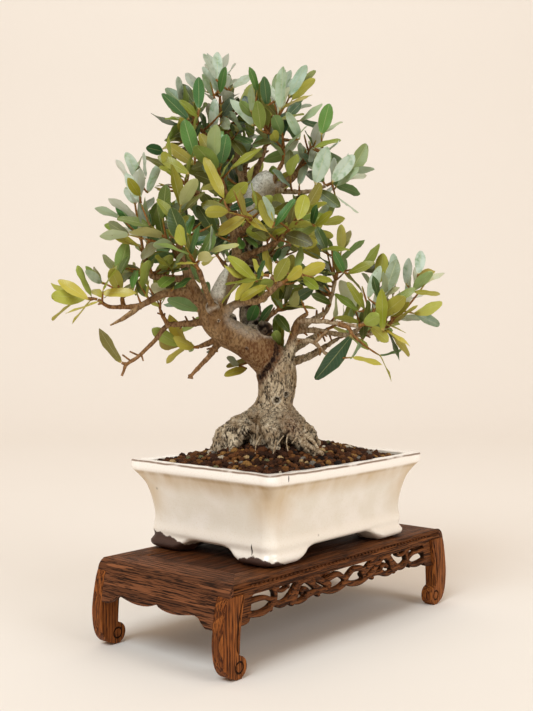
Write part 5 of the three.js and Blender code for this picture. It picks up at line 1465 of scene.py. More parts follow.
# each spray: the limb it ends, two more points of its shoot, leaf pairs, leaf length, the tips of its side
# shoots, and how yellow and how silvery its leaves are
sprays = {
    "spray_apex": ["crownLeft", (-61, 25, 530), (-62, 24, 550), 4, 31, [(-48, 20, 538), (-75, 22, 534)],
                   (0.15, 0.95)],
    "spray_crown_side": ["crownSide", (-87, 13, 505), (-92, 10, 513), 3, 33, [(-98, 4, 495)], (0.5, 0.25)],
    "spray_crown_low": ["crownLow", (-90, 1, 482), (-97, -2, 488), 3, 33, [], (0.75, 0.2)],
    "spray_crown_right": ["crownRight", (-6, 40, 504), (11, 42, 534), 3, 35,
                          [(-20, 40, 520), (22, 38, 508)], (0.25, 0.6)],
    "spray_crown_front": ["crownFront", (5, -2, 480), (-2, -8, 502), 3, 33, [(-26, -10, 502)], (0.35, 0.4)],
    "spray_crown_back": ["crownBack", (-31, 70, 490), (-30, 76, 508), 3, 34, [(-52, 68, 498)], (0.4, 0.35)],
    "spray_right_top": ["rightTop", (36, 27, 483), (41, 28, 492), 2, 33, [(44, 17, 472)], (0.3, 0.7)],
    "spray_right_mid": ["rightMid", (58, 10, 442), (70, 8, 449), 3, 33, [(56, 16, 428)], (0.4, 0.65)],
    "spray_mid_left": ["midLeft", (-96, -27, 436), (-104, -29, 446), 3, 35, [], (0.6, 0.2)],
    "spray_mid_front": ["midFront", (-60, -20, 446), (-64, -23, 456), 3, 36, [], (0.45, 0.35)],
    "spray_left_outer": ["padLimb", (-140, -17, 398), (-146, -15, 434), 4, 34, [(-158, -20, 402)],
                         (0.25, 0.9)],
    "spray_left_pad": ["leftArm", (-108, -42, 378), (-124, -48, 390), 3, 34,
                       [(-146, -45, 382), (-112, -54, 396)], (0.6, 0.35)],
    "spray_left_inner": ["armUp", (-98, -54, 396), (-94, -58, 408), 3, 35, [], (0.55, 0.25)],
    "spray_left_rear": ["padRear", (-116, 4, 380), (-128, 14, 391), 3, 33, [(-108, 12, 394)], (0.4, 0.4)],
    "spray_far_left": ["farLeft", (-186, -35, 323), (-195, -34, 321), 3, 32, [], (0.95, 0.1)],
    "spray_far_left_up": ["farLeftUp", (-156, -30, 334), (-158, -26, 344), 2, 31, [(-174, -27, 338)],
                          (0.6, 0.35)],
    "spray_low_left_up": ["lowLeftUp", (-120, -8, 316), (-122, -8, 321), 2, 17, [], (0.85, 0.1)],
    "spray_low_left": ["lowLeaf", (-90, 4, 273), (-101, 6, 276), 3, 33, [], (0.75, 0.15)],
    "spray_centre_low": ["centreLow", (-20, -48, 344), (-31, -49, 341), 3, 33, [], (0.9, 0.1)],
    "spray_centre_right": ["centreRight", (10, -39, 342), (20, -36, 345), 3, 31, [], (0.8, 0.2)],
    "spray_centre_rear": ["innerTwig", (3, -2, 315), (8, -6, 318), 3, 31, [], (0.4, 0.35)],
    "spray_centre_mid": ["centreUp", (12, -33, 392), (22, -36, 402), 3, 34, [(-6, -42, 398)], (0.85, 0.1)],
    "spray_front_mid": ["frontMid", (-24, -52, 400), (-16, -61, 405), 3, 34, [(-50, -56, 402)], (0.8, 0.15)],
    "spray_front_left": ["frontLeft", (-82, -84, 356), (-88, -92, 368), 3, 34, [(-66, -90, 362)], (0.5, 0.3)],
    "spray_right_up": ["rightUp", (60, 13, 356), (62, 14, 372), 3, 33, [(80, 8, 354)], (0.55, 0.3)],
    "spray_right_low": ["rightLow", (86, -32, 298), (98, -34, 305), 3, 32, [(106, -35, 288)], (0.75, 0.25)],
    "spray_right_far": ["rightFar", (120, 14, 310), (136, 15, 332), 4, 32, [(114, 10, 328), (136, 10, 308)],
                        (0.45, 0.7)],
    "spray_right_pad": ["rightPad", (96, -18, 315), (102, -24, 328), 3, 31, [], (0.6, 0.55)],
    "spray_right_rear": ["rightRear", (76, 32, 290), (92, 38, 299), 3, 34, [], (0.4, 0.35)],
    "spray_back_left": ["backLeft", (-72, 96, 380), (-84, 106, 394), 3, 34, [(-62, 108, 386)], (0.4, 0.35)],
    "spray_back_right": ["backRight", (34, 98, 400), (48, 108, 410), 3, 34, [(24, 112, 396)], (0.4, 0.35)],
    "spray_back_upper": ["backUpper", (-58, 90, 446), (-62, 98, 462), 3, 34, [(-40, 96, 448)], (0.4, 0.35)],
    "spray_back_low_left": ["backLowLeft", (-84, 82, 310), (-98, 90, 319), 3, 34, [], (0.4, 0.35)],
    "spray_back_low_right": ["backLowRight", (64, 74, 298), (80, 82, 308), 3, 34, [], (0.4, 0.35)],
}

# a leaf alone on its limb's end: the limb, the ways that it points and faces, its length, yellow and silver
loneLeaves = {
    "leaf_low_left": ["lowLeftSpur", (-0.56, -0.1, 0.82), (-0.5, -0.8, -0.4), 40, (0.9, 0.0)],
    "leaf_hanging": ["hangSpur", (-0.6, 0.1, -0.8), (0.5, -0.85, -0.3), 57, (0.0, 0.0)],
    "leaf_under_left": ["underTwig", (-0.97, 0.1, -0.2), (-0.3, -0.6, 0.7), 29, (0.85, 0.2)],
}


seeds = {"shoots": 7, "leaves": 23, "fillers": 41, "fillerLeaves": 61, "wear": 99}


def plus(a, b, share=1.0):
    return (a[0] + b[0] * share, a[1] + b[1] * share, a[2] + b[2] * share)


def summed(*parts):
    # the sum of vectors, each with its share
    total = (0, 0, 0)
    for vector, share in parts:
        total = plus(total, vector, share)
    return total


def halfway(a, b):
    return summed((a, 0.5), (b, 0.5))


def dot(a, b):
    return a[0] * b[0] + a[1] * b[1] + a[2] * b[2]


def unit(a):
    return plus((0, 0, 0), a, 1 / math.sqrt(dot(a, a)))


def cross(a, b):
    return (a[1] * b[2] - a[2] * b[1], a[2] * b[0] - a[0] * b[2], a[0] * b[1] - a[1] * b[0])


def bezier(points, t):
    a, b, c = points
    return summed((a, (1 - t) ** 2), (b, 2 * t * (1 - t)), (c, t * t))


def bezierHeading(points, t):
    a, b, c = points
    return unit(summed((plus(b, a, -1), 1 - t), (plus(c, b, -1), t)))


def squareTo(along, angle):
    # two directions square to a shoot, the first turned round it by the given angle
    level = unit(cross(along, (0, 0, 1) if abs(along[2]) < 0.9 else (1, 0, 0)))
    first = summed((level, math.cos(angle)), (cross(along, level), math.sin(angle)))
    return first, cross(along, first)


def stretchDistance(ab, cd):
    # the shortest distance between two stretches, each given by its two ends
    (a, b), (c, d) = ab, cd
    along, other, apart = plus(b, a, -1), plus(d, c, -1), plus(a, c, -1)
    aa, bb, across = dot(along, along), dot(other, other), dot(along, other)
    ca, cb = dot(along, apart), dot(other, apart)
    spread = aa * bb - across * across
    s = min(1.0, max(0.0, (across * cb - ca * bb) / spread)) if spread > 1e-9 else 0.0
    t = min(1.0, max(0.0, (across * s + cb) / bb))
    s = min(1.0, max(0.0, (across * t - ca) / aa))
    gap = plus(plus(apart, along, s), other, -t)
    return math.sqrt(dot(gap, gap))


def leafLines(leaf):
    # three lines along a leaf, by which it is kept clear of the others
    acrossLeaf = cross(leaf["face"], leaf["heading"])

    def at(share, side):
        half = (leaf["width"] / 2) * math.sin(math.pi * min(1, share * 0.92 + 0.04)) ** 0.7
        point = plus(plus(leaf["base"], leaf["heading"], leaf["length"] * share), leaf["face"],
                     -leaf["bow"] * share * share)
        return plus(point, acrossLeaf, side * half)

    shares = (0.16, 0.45, 0.75, 1)
    return [(at(shares[i], side), at(shares[i + 1], side)) for side in (-1, 0, 1) for i in range(3)]


def planShoots():
    draw = randomBy(seeds["shoots"])
    shoots = []
    for name, (limb, bend, tip, pairs, length, sideTips, tone) in sprays.items():
        last = limbs[limb][-1]
        end = tuple(last[:3])
        onward = unit(plus(end, limbs[limb][-2], -1))
        way = unit(plus(tip, end, -1))
        tilt = math.sqrt(max(0, 1 - dot(onward, way) ** 2))
        start = plus(end, onward, 1.08 * (seatGap + last[3] * tilt))
        points = (start, bend, tip)
        shoots.append({"name": name, "points": points, "square": squareTo(way, 2 * math.pi * draw()),
                       "radii": (last[3], 1.2), "pairs": pairs, "length": length, "tone": tone})
        for i, sideTip in enumerate(sideTips):
            begin = bezier(points, 0.25 + 0.25 * i)
            shoots.append({"name": name, "points": (begin, halfway(begin, sideTip), sideTip),
                           "square": squareTo(unit(plus(sideTip, begin, -1)), 0), "radii": (1.4, 1.1),
                           "pairs": 2, "length": length * 0.92, "tone": tone})
    return shoots


def planLoneLeaves():
    made = []
    for name, (limb, heading, look, length, tone) in loneLeaves.items():
        end = tuple(limbs[limb][-1][:3])
        onward = unit(plus(end, limbs[limb][-2], -1))
        way = unit(heading)
        face = unit(plus(look, way, -dot(look, way)))
        leaf = {"name": name, "shoot": None, "base": plus(end, onward, 1.6 * seatGap), "heading": way,
                "face": face, "length": length, "width": 0.37 * length, "bow": 0.06 * length, "tone": tone}
        leaf["lines"] = leafLines(leaf)
        made.append(leaf)
    return made


# turn round the twig, share of the spread, share of the length
leafTries = [(0, 1, 1), (0.6, 1, 1), (-0.6, 1, 1), (0, 0.6, 1), (1.2, 1, 0.9), (-1.2, 1, 0.9),
             (0, 0.5, 0.75), (0.6, 0.7, 0.75)]


class Crown:
    # the leaves so far, and the wood that a new leaf stays clear of
    def __init__(self, shoots):
        self.leaves = planLoneLeaves()
        self.posed = []
        self.wood = []
        for rows in limbs.values():
            for a, b in zip(rows[:-1], rows[1:]):
                self.addWood((tuple(a[:3]), tuple(b[:3])), max(a[3], b[3]), None)
        for shoot in shoots:
            self.addShoot(shoot)

    def addWood(self, ends, radius, shoot):
        step = plus(ends[1], ends[0], -1)
        self.wood.append((ends, radius, shoot, halfway(*ends), math.sqrt(dot(step, step)) / 2 + radius))

    def addShoot(self, shoot):
        for i in range(4):
            ends = (bezier(shoot["points"], i / 4), bezier(shoot["points"], (i + 1) / 4))
            self.addWood(ends, shoot["radii"][0], shoot)

    def isClear(self, leaf, ease=1.0):
        middle = plus(leaf["base"], leaf["heading"], leaf["length"] / 2)
        own = leaf["lines"]

        def near(point, reach):
            apart = plus(point, middle, -1)
            return dot(apart, apart) < (reach + leaf["length"] * 0.6) ** 2

        for ends, radius, shoot, centre, reach in self.wood:
            if (shoot and shoot is leaf["shoot"]) or not near(centre, reach):
                continue
            if any(stretchDistance(ends, line) < (radius + 1.3) * ease for line in own):
                return False
        for other in self.leaves:
            centre = plus(other["base"], other["heading"], other["length"] / 2)
            if not near(centre, other["length"] * 0.6):
                continue
            limit = 1 if other["shoot"] is leaf["shoot"] else max(other["width"], leaf["width"]) / 4 + 0.9
            if any(stretchDistance(a, b) < limit * ease for a in other["lines"] for b in own):
                return False
        return True

    def grow(self, shoot, t, angle, spread, draws, ease=1.0):
        for turn, openness, share in leafTries:
            along = bezierHeading(shoot["points"], t)
            first, second = shoot["square"]
            out = summed((first, math.cos(angle + turn)), (second, math.sin(angle + turn)))
            lean = spread * openness
            heading = unit(summed((along, math.cos(lean)), (out, math.sin(lean)), ((0, 0, 0.12), 1.0)))
            flat = unit(plus(along, heading, -dot(along, heading)))
            twist = 0.9 * (draws[1] - 0.5)
            face = unit(summed((flat, math.cos(twist)), (cross(heading, flat), math.sin(twist))))
            length = shoot["length"] * share * (0.82 + 0.36 * draws[2])
            width = length * (0.37 + 0.1 * draws[3])
            leaf = {"name": shoot["name"], "shoot": shoot, "base": bezier(shoot["points"], t),
                    "heading": heading, "face": face, "length": length, "width": width,
                    "bow": length * (0.16 * draws[4] - 0.02)}
            leaf["lines"] = leafLines(leaf)
            barred = shoot["name"] == "filler" and (inOpening(leaf) or self.hidesPosed(leaf))
            if not barred and self.isClear(leaf, ease):
                self.leaves.append(leaf)
                return True
        return False

    def hidesPosed(self, leaf):
        # whether a leaf would stand in front of one that was posed for the view
        lines = np.array(self.posed)
        for share in (0.3, 0.65, 1.0):
            across, height, depth = asSeen(*plus(leaf["base"], leaf["heading"], leaf["length"] * share))
            along = np.clip(((across - lines[:, 0]) * lines[:, 2] + (height - lines[:, 1]) * lines[:, 3])
                            / (lines[:, 2] ** 2 + lines[:, 3] ** 2), 0, 1)
            gap = np.hypot(lines[:, 0] + along * lines[:, 2] - across,
                           lines[:, 1] + along * lines[:, 3] - height)
            if np.any((gap < lines[:, 4] / 2 + 3) & (depth < lines[:, 5] + 6)):
                return True
        return False

    def pose(self, line, across, height, run, rise, width, look):
        # a leaf that fills a given place in the view, hung on the wood nearest to it there
        seen = np.array([asSeen(*row[:3]) for row in line])
        nearest = np.argmin(np.hypot(seen[:, 0] - across, seen[:, 1] - height)
                            + 0.2 * np.abs(seen[:, 2] + 15))
        number = len(self.posed)
        for step in (0, -6, 6, -12, 12, -20):
            depth = min(20, seen[nearest, 2] - line[nearest, 3] - 3) + step
            share = 1 + depth / view["reach"]
            flat = math.hypot(run, rise) * share
            lean = (1 if number % 3 == 0 else -1) * math.sqrt(max(0, 31 ** 2 - flat ** 2)) * 0.8
            length = math.hypot(flat, lean)
            broad = max(width * share, 0.34 * length)
            heading = unit((run * share, lean, rise * share))
            face = unit(plus((0, -1, 0), heading, heading[1]))
            side = cross(heading, face)
            roll = math.acos(width * share / broad) * (1 if side[2] > 0 else -1)
            face = summed((face, math.cos(roll)), (side, math.sin(roll)))
            leaf = {"name": "posed", "shoot": None, "tone": look[:2], "shade": look[2],
                    "base": fromSeen(across, height, depth),
                    "heading": heading, "face": face, "length": length, "width": broad,
                    "bow": length * 0.05 * (number % 4 - 1)}
            leaf["lines"] = leafLines(leaf)
            if self.isClear(leaf, 0.4):
                break
        self.leaves.append(leaf)
        self.posed.append((across, height, run, rise, width, depth))
        return leaf["base"]

    def clothe(self, shoots, draw, ease=1.0):
        for shoot in shoots:
            for k in range(shoot["pairs"]):
                t = 0.24 + (0.73 * k) / max(1, shoot["pairs"] - 1)
                for side in range(2):
                    draws = [draw() for _ in range(5)]
                    angle = (math.pi / 2) * (k + 0.5 + 2 * side) + 0.4 * (draws[0] - 0.5)
                    self.grow(shoot, t, angle, 1.15 - 0.62 * t, draws, ease)


# leaves that are plain to see from the front, by look: yellow, silver and shade, then for each leaf where
# its stalk is seen (across and height), how far the blade runs across and up, and how broad it looks
posedLeaves = {
    (0.2, 1.0, 0.0): [
        (-62, 539, -1, 30, 11), (-64, 541, -12, 21, 6), (-62, 529, -14, 21, 9), (-52, 534, 16, 15, 7),
        (-97, 517, -5, 23, 7), (-67, 487, 2, 35, 11), (-6, 519, -3, 22, 6), (-137, 434, -16, 36, 12),
        (-134, 443, 2, 23, 5), (-139, 418, -15, 30, 11), (-133, 378, -7, 43, 8), (126, 337, 0, 24, 9),
        (138, 347, 5, 24, 11), (52, 439, 22, 27, 15)],
    (0.25, 0.75, 0.0): [
        (-67, 524, -9, 17, 8), (-27, 495, -22, 28, 11), (-29, 509, 2, 22, 8), (0, 511, 3, 43, 12),
        (9, 524, 17, 32, 12), (20, 482, -13, 24, 10), (35, 437, 12, 37, 17), (-132, 428, 12, 30, 10),
        (-178, 338, -12, 11, 9), (-6, 399, -9, 23, 8), (0, 359, 8, 16, 6), (115, 336, -2, 32, 11),
        (88, 323, 12, 33, 11), (64, 374, 5, 13, 8), (-41, 256, -13, 8, 7), (56, 435, 22, 16, 9),
        (19, 436, 7, 25, 9)],
    (0.2, 0.1, 0.1): [
        (-60, 527, 5, 21, 9), (-81, 511, 0, 32, 12), (-85, 463, -11, 39, 16), (-75, 461, 18, 29, 11),
        (-59, 456, 6, 28, 14), (-53, 427, 0, 38, 5), (41, 486, 8, 31, 14), (-142, 386, -22, 36, 13),
        (-147, 332, 0, 24, 9), (-6, 393, 22, 28, 8), (64, 349, -12, 20, 9), (-95, 378, 7, 30, 9),
        (-23, 529, -6, 18, 8), (-31, 299, 8, 18, 12)],
    (0.0, 0.1, 0.55): [
        (-91, 501, -27, 26, 12), (-116, 469, -14, 0, 11), (-13, 515, -3, 24, 11), (-133, 379, 0, 31, 10),
        (-102, 374, -29, 4, 9), (-94, 377, 31, 7, 9), (-51, 411, 27, 13, 10), (-107, 333, 21, 8, 7),
        (-23, 341, 8, 18, 6), (-5, 359, 5, 17, 7), (32, 397, 2, 15, 7), (108, 291, 10, -31, 5),
        (-62, 270, -12, 0, 6), (-21, 298, 13, 18, 8)],
    (0.55, 0.1, 0.3): [
        (-82, 503, -15, 13, 8), (-95, 502, -16, 5, 5), (-96, 500, -17, -3, 5), (-49, 452, 30, 22, 9),
        (-91, 447, -31, 19, 12), (-95, 443, -25, 7, 7), (-19, 490, -4, 27, 14), (-6, 499, 30, 9, 5),
        (32, 472, 27, 9, 6), (-101, 399, -22, 21, 9), (-177, 331, 15, 28, 4), (-13, 380, -25, 19, 13),
        (-5, 340, 12, 21, 14), (-18, 342, -37, -7, 5), (109, 317, 26, 16, 9), (85, 311, -17, 29, 9),
        (78, 310, -22, 20, 8), (23, 344, 15, -14, 10), (34, 344, 16, -6, 8), (41, 371, 30, 2, 6),
        (68, 348, 24, 11, 9), (35, 395, 17, 12, 9), (-157, 390, -21, 9, 9)],
    (0.45, 0.0, 0.85): [
        (37, 431, 22, -18, 13), (-63, 386, -20, 30, 14), (0, 321, 9, 19, 11), (51, 318, -21, 8, 8),
        (83, 281, 1, 33, 10), (10, 289, -14, 19, 10)],
    (0.75, 0.1, 0.05): [
        (-56, 422, -21, 41, 12), (-55, 418, 23, 19, 14), (18, 401, 8, 28, 15), (-140, 425, -8, 13, 10),
        (-8, 393, -12, 27, 12), (-9, 385, 22, 11, 12), (-24, 340, -28, 26, 12), (-14, 336, -26, -14, 9),
        (103, 291, 0, 42, 10), (111, 305, 16, 13, 9), (-33, 253, -22, -6, 8), (-178, 324, -14, 11, 8)],
    (0.95, 0.1, 0.0): [
        (-87, 381, -15, 4, 10), (-141, 375, -30, 12, 8), (-192, 322, -30, 20, 11), (-143, 328, -35, 2, 10),
        (-12, 389, -28, 20, 9), (111, 296, 27, 20, 4), (106, 291, 23, -15, 5), (72, 264, 30, -5, 5),
        (-180, 320, -34, -14, 3)],
    (1.0, 0.2, 0.45): [
        (-85, 456, -29, 21, 12), (3, 513, 29, 14, 6), (138, 345, 20, 9, 7), (132, 330, 26, -5, 6)],
}


def fromSeen(across, height, depth):
    # the point of the tree seen at a place in its middle plane, with the given depth
    share = 1 + depth / view["reach"]
    middle, level = view["aim"]
    return (middle + (across - middle) * share, depth,
            level + (height - level) * share + depth * view["fall"])


def asSeen(across, depth, height):
    share = 1 + depth / view["reach"]
    middle, level = view["aim"]
    return middle + (across - middle) / share, level + (height - depth * view["fall"] - level) / share, depth


def poseLeaves(crown, shoots):
    # returns the short twigs that hold them
    line = np.vstack([curveThrough(rows, 4 * len(rows)) for rows in limbs.values()])
    line = np.vstack([line[line[:, 3] < 6.5], [
        [*bezier(shoot["points"], t), shoot["radii"][0]] for shoot in shoots for t in (0.2, 0.5, 0.8, 1)]])
    twigs, ends = [], []
    for look, rows in posedLeaves.items():
        for row in rows:
            base = crown.pose(line, *row, look)
            close = [end for end in ends if math.dist(end, base) < 9]
            start = close[0] if close else nearestWood(np.array(base), line, 3)
            reach = math.dist(start, base)
            if reach > 1:
                bend = plus(halfway(start, base), (0, 0, 1), -0.1 * reach)
                twigs.append({"name": "posed", "points": (start, bend, base), "radii": (1.2, 0.9), "pairs": 0,
                              "young": 0.3})
            ends.append(base)
    return twigs


# short shoots that fill the crown between the sprays: tip, leaf pairs, leaf length, yellow, silver
fillers = [[(-150, -20, 350), 3, 32, 0.7, 0.2], [(-136, -44, 338), 3, 30, 0.8, 0.2],
           [(-118, -14, 328), 3, 31, 0.5, 0.3], [(-104, -40, 350), 3, 32, 0.6, 0.2],
           [(-70, -26, 404), 3, 33, 0.4, 0.3], [(-62, 4, 396), 3, 32, 0.3, 0.2],
           [(24, 6, 388), 3, 33, 0.7, 0.2], [(46, -4, 372), 3, 32, 0.6, 0.3],
           [(52, 16, 380), 3, 32, 0.5, 0.3], [(38, 12, 452), 3, 33, 0.3, 0.5],
           [(-16, 32, 524), 3, 33, 0.3, 0.4], [(100, 2, 340), 3, 31, 0.6, 0.3],
           [(148, 12, 340), 2, 30, 0.6, 0.6], [(98, -22, 266), 2, 32, 0.3, 0.1],
           [(-94, 6, 484), 3, 32, 0.7, 0.2], [(-40, 14, 520), 3, 32, 0.3, 0.3],
           [(-68, 18, 504), 3, 32, 0.5, 0.2], [(-2, 8, 284), 3, 30, 0.4, 0.1],
           [(-9, -22, 346), 2, 31, 0.9, 0.1], [(-4, 30, 532), 2, 34, 0.4, 0.6],
           [(13, 36, 530), 2, 34, 0.4, 0.5], [(-30, -2, 256), 1, 28, 0.8, 0.1]]

# where the crown is dense: middle and half size of each cloud of leaves, its shoots, yellow, silver
clouds = [
    [(-92, 14, 500), (20, 24, 24), 7, 0.35, 0.3], [(-60, 18, 520), (26, 28, 26), 9, 0.3, 0.45],
    [(-14, 34, 512), (28, 30, 26), 9, 0.3, 0.35], [(14, 24, 466), (32, 30, 30), 10, 0.35, 0.4],
    [(-56, 10, 466), (34, 34, 30), 9, 0.35, 0.25], [(-108, -14, 412), (30, 34, 30), 10, 0.4, 0.3],
    [(-58, -16, 408), (34, 40, 34), 11, 0.5, 0.15], [(-6, -14, 402), (34, 40, 30), 10, 0.65, 0.1],
    [(20, 4, 390), (24, 36, 22), 7, 0.6, 0.2], [(-140, -24, 346), (36, 26, 12), 7, 0.65, 0.2],
    [(-104, -10, 364), (26, 30, 16), 7, 0.5, 0.2], [(12, 4, 330), (26, 34, 16), 6, 0.6, 0.15],
    [(98, 2, 318), (30, 28, 22), 7, 0.6, 0.35], [(52, 8, 346), (22, 24, 16), 3, 0.5, 0.25],
    [(-30, 62, 410), (44, 26, 50), 9, 0.35, 0.3],
]

# openings that the crown keeps on its broad near side: across, height, radius, and how deep they reach
openings = [(-25, 436, 21, 40), (-26, 404, 9, 40), (-60, 322, 26, 40), (-70, 356, 13, 80),
            (-108, 431, 15, 80), (14, 311, 11, 80), (29, 502, 12, 80), (-22, 300, 16, 10), (4, 458, 6, 80),
            (-22, 270, 16, 40), (-170, 366, 16, 80), (-98, 316, 12, 80), (28, 323, 12, 80),
            (-19, 458, 10, 80), (-118, 496, 15, 80), (86, 460, 18, 80), (56, 399, 12, 80),
            (84, 378, 18, 80), (32, 408, 11, 80), (-34, 540, 8, 80), (148, 306, 16, 80)]


def inOpening(leaf):
    for share in (0.2, 0.6, 1.0):
        across, deep, height = plus(leaf["base"], leaf["heading"], leaf["length"] * share)
        for at, level, radius, reach in openings:
            if deep < reach and math.hypot(across - at, height - level) < radius:
                return True
    return False


def nearestWood(tip, line, least=14):
    # the point of a thin limb that a new shoot can grow from
    gap = np.linalg.norm(line[:, :3] - tip, axis=1)
    cost = gap + 0.5 * np.maximum(0, line[:, 2] - tip[2] + 6) + 25 * (gap < least)
    return tuple(line[np.argmin(cost), :3])


def planFillers():
    draw = randomBy(seeds["fillers"])
    line = np.vstack([curveThrough(rows, 4 * len(rows)) for rows in limbs.values()])
    line = line[line[:, 3] < 6.5]
    wanted = [(tip, pairs, length, (yellow, silver)) for tip, pairs, length, yellow, silver in fillers]
    for middle, half, count, yellow, silver in clouds:
        for _ in range(count):
            share = [1 - 2 * draw() for _ in range(3)]
            reach = max(1, math.sqrt(sum(v * v for v in share)))
            tip = tuple(m + h * v / reach for m, h, v in zip(middle, half, share))
            wanted.append((tip, 2 + (draw() > 0.5), 27 + 7 * draw(), (yellow, silver)))
    made = []
    for tip, pairs, length, tone in wanted:
        start = nearestWood(np.array(tip), line)
        reach = math.dist(start, tip)
        bend = plus(halfway(start, tip), (0, 0, 1), reach * (0.1 * draw() - 0.17))
        points = (start, bend, tuple(float(v) for v in tip))
        made.append({"name": "filler", "points": points, "square": squareTo(
            unit(plus(tip, start, -1)), 2 * math.pi * draw()), "radii": (1.3 + 0.012 * reach, 1.0),
            "pairs": pairs, "length": length, "tone": tone, "young": 0.3})
    return made


leafVectors = ("heading", "face", "size")
leafBlade = {"Along": 9, "Across": 4, "Thickness": 0.00055, "Fold": 0.14, "Wave": 0.022}


def makeLeafTree(material):
    tree, given, result = newGrowth("leafBlades", {
        "Along": 8, "Across": 4, "Thickness": 0.0005, "Fold": 0.15, "Wave": 0.02, "Finish": material})
    grid = put("MeshGrid",
               {"Size X": 2.0, "Size Y": 1.0, "Vertices X": given["Across"] + 1,
                "Vertices Y": given["Along"] + 1})
    flat = put("SeparateXYZ", Vector=put("InputPosition"))
    # rows crowd towards the tip and the stalk, which keeps both ends round
    swing = compute("COSINE", (flat["Y"] + 0.5) * math.pi)
    along = 0.5 - swing * 0.5
    kept = grid
    for label, value in (("along", along), ("across", flat["X"])):
        kept = stored(kept, label, value)
    saved = {label: put("InputNamedAttribute", Name=label, data_type="FLOAT")
             for label in ("along", "across")}
    blunt = compute("POWER", 1.0 - saved["along"], 0.62)
    body = compute("POWER", saved["along"], 0.72) * blunt
    half = compute("MAXIMUM", body * 2.5, blunt * 0.09)
    x = saved["across"] * half * 0.5
    edge = 1.0 - compute("POWER", compute("ABSOLUTE", saved["across"]), 2.0)
    sheets = []
    for side, sign in ((0.0, 0.5), (1.0, -0.5)):
        z = edge * half * sign
        spot = put("CombineXYZ", X=x, Y=saved["along"], Z=z)
        sheet = put("SetPosition", Geometry=kept, Position=spot)
        if side:
            sheet = put("FlipFaces", Mesh=sheet)
        sheets.append(stored(sheet, "under", side))
    closed = put("MergeByDistance", Geometry=joinedParts(sheets[::-1]), Distance=0.0002)
    named = {label: put("InputNamedAttribute", Name=label,
                        data_type="FLOAT_VECTOR" if label in leafVectors else "FLOAT")
             for label in (*leafVectors, "bow", "twist", "fold", "phase")}
    turn = put("AxesToRotation", {"Primary Axis": named["face"], "Secondary Axis": named["heading"]},
               primary_axis="Z", secondary_axis="Y")
    size = put("SeparateXYZ", Vector=named["size"])
    scale = put("CombineXYZ", X=size["X"], Y=size["Y"], Z=given["Thickness"])
    blades = put("InstanceOnPoints", Points=given["Geometry"], Instance=closed, Rotation=turn, Scale=scale)
    real = put("RealizeInstances", Geometry=blades)
    # fold along the midrib, bow down, twist and ripple the edge
    span = half * size["X"] * 0.5
    reach = compute("ABSOLUTE", saved["across"])
    fold = reach * span * (given["Fold"] + named["fold"])
    bend = named["bow"] * saved["along"] * saved["along"]
    twisted = saved["across"] * span * (named["twist"] * saved["along"])
    ripple = compute("SINE", saved["along"] * 11.0 + named["phase"])
    ripple = ripple * saved["across"] * (given["Wave"] * size["Y"])
    rise = fold + twisted + ripple - bend
    offset = put("VectorMath", {0: named["face"], 3: rise}, operation="SCALE")
    moved = put("SetPosition", Geometry=real, Offset=offset)
    smooth = put("SetShadeSmooth", Geometry=moved)
    rim = compute("GREATER_THAN", reach, 0.99)
    crisp = put("SetShadeSmooth", {"Shade Smooth": False}, Geometry=smooth, Selection=rim, domain="EDGE")
    endGrowth(result, crisp, given["Finish"])
    return tree


def makeLeaves(material, leaves):
    draw = randomBy(seeds["wear"])
    bases = np.array([leaf["base"] for leaf in leaves])
    middles = bases + [np.array(leaf["heading"]) * leaf["length"] / 2 for leaf in leaves]
    crowd = [(np.linalg.norm(middles - middle, axis=1) < 38).sum() for middle in middles]
    piece = newPiece("oliveLeaves", (placedLine(bases) * mm + standCentre).tolist())
    for name in leafVectors[:2]:
        keepValues(piece, name, placedLine([leaf[name] for leaf in leaves]) - placedLine(np.zeros((1, 3))))
    keepValues(piece, "size", [[leaf["width"] * mm, leaf["length"] * mm, 0] for leaf in leaves])
    values = {name: [] for name in ("bow", "twist", "fold", "phase", "yellow", "silver", "shade")}
    for leaf, close in zip(leaves, crowd):
        yellow, silver = (leaf["shoot"] or leaf)["tone"]
        loose = 1.0 if leaf["shoot"] else 0.3 * (leaf["name"] == "posed")
        values["bow"].append(leaf["bow"] * mm)
        values["twist"].append(loose * 0.9 * (draw() - 0.5))
        values["fold"].append(0.25 * (draw() - 0.3))
        values["phase"].append(6.28 * draw())
        values["yellow"].append(min(1, max(0, yellow + loose * 0.9 * (draw() - 0.5))))
        values["silver"].append(min(1, max(0, silver + loose * 0.6 * (draw() - 0.5))))
        chance = draw() ** 2
        if "shade" in leaf:
            values["shade"].append(leaf["shade"])
        else:
            # leaves crowded inside the crown or lying behind the trunk are painted darker as shade
            hidden = 0.7 * max(0, close - 9) / 14 + 0.35 * float(smoothStep(0, 60, leaf["base"][1]))
            values["shade"].append(min(1, 0.95 * chance + hidden) if loose else 0.7)
    for name, rows in values.items():
        keepValues(piece, name, rows)
    grown(piece, makeLeafTree(material), {**leafBlade, "Finish": material})
    return finished(piece, material, "foliage", *sprays, *loneLeaves)


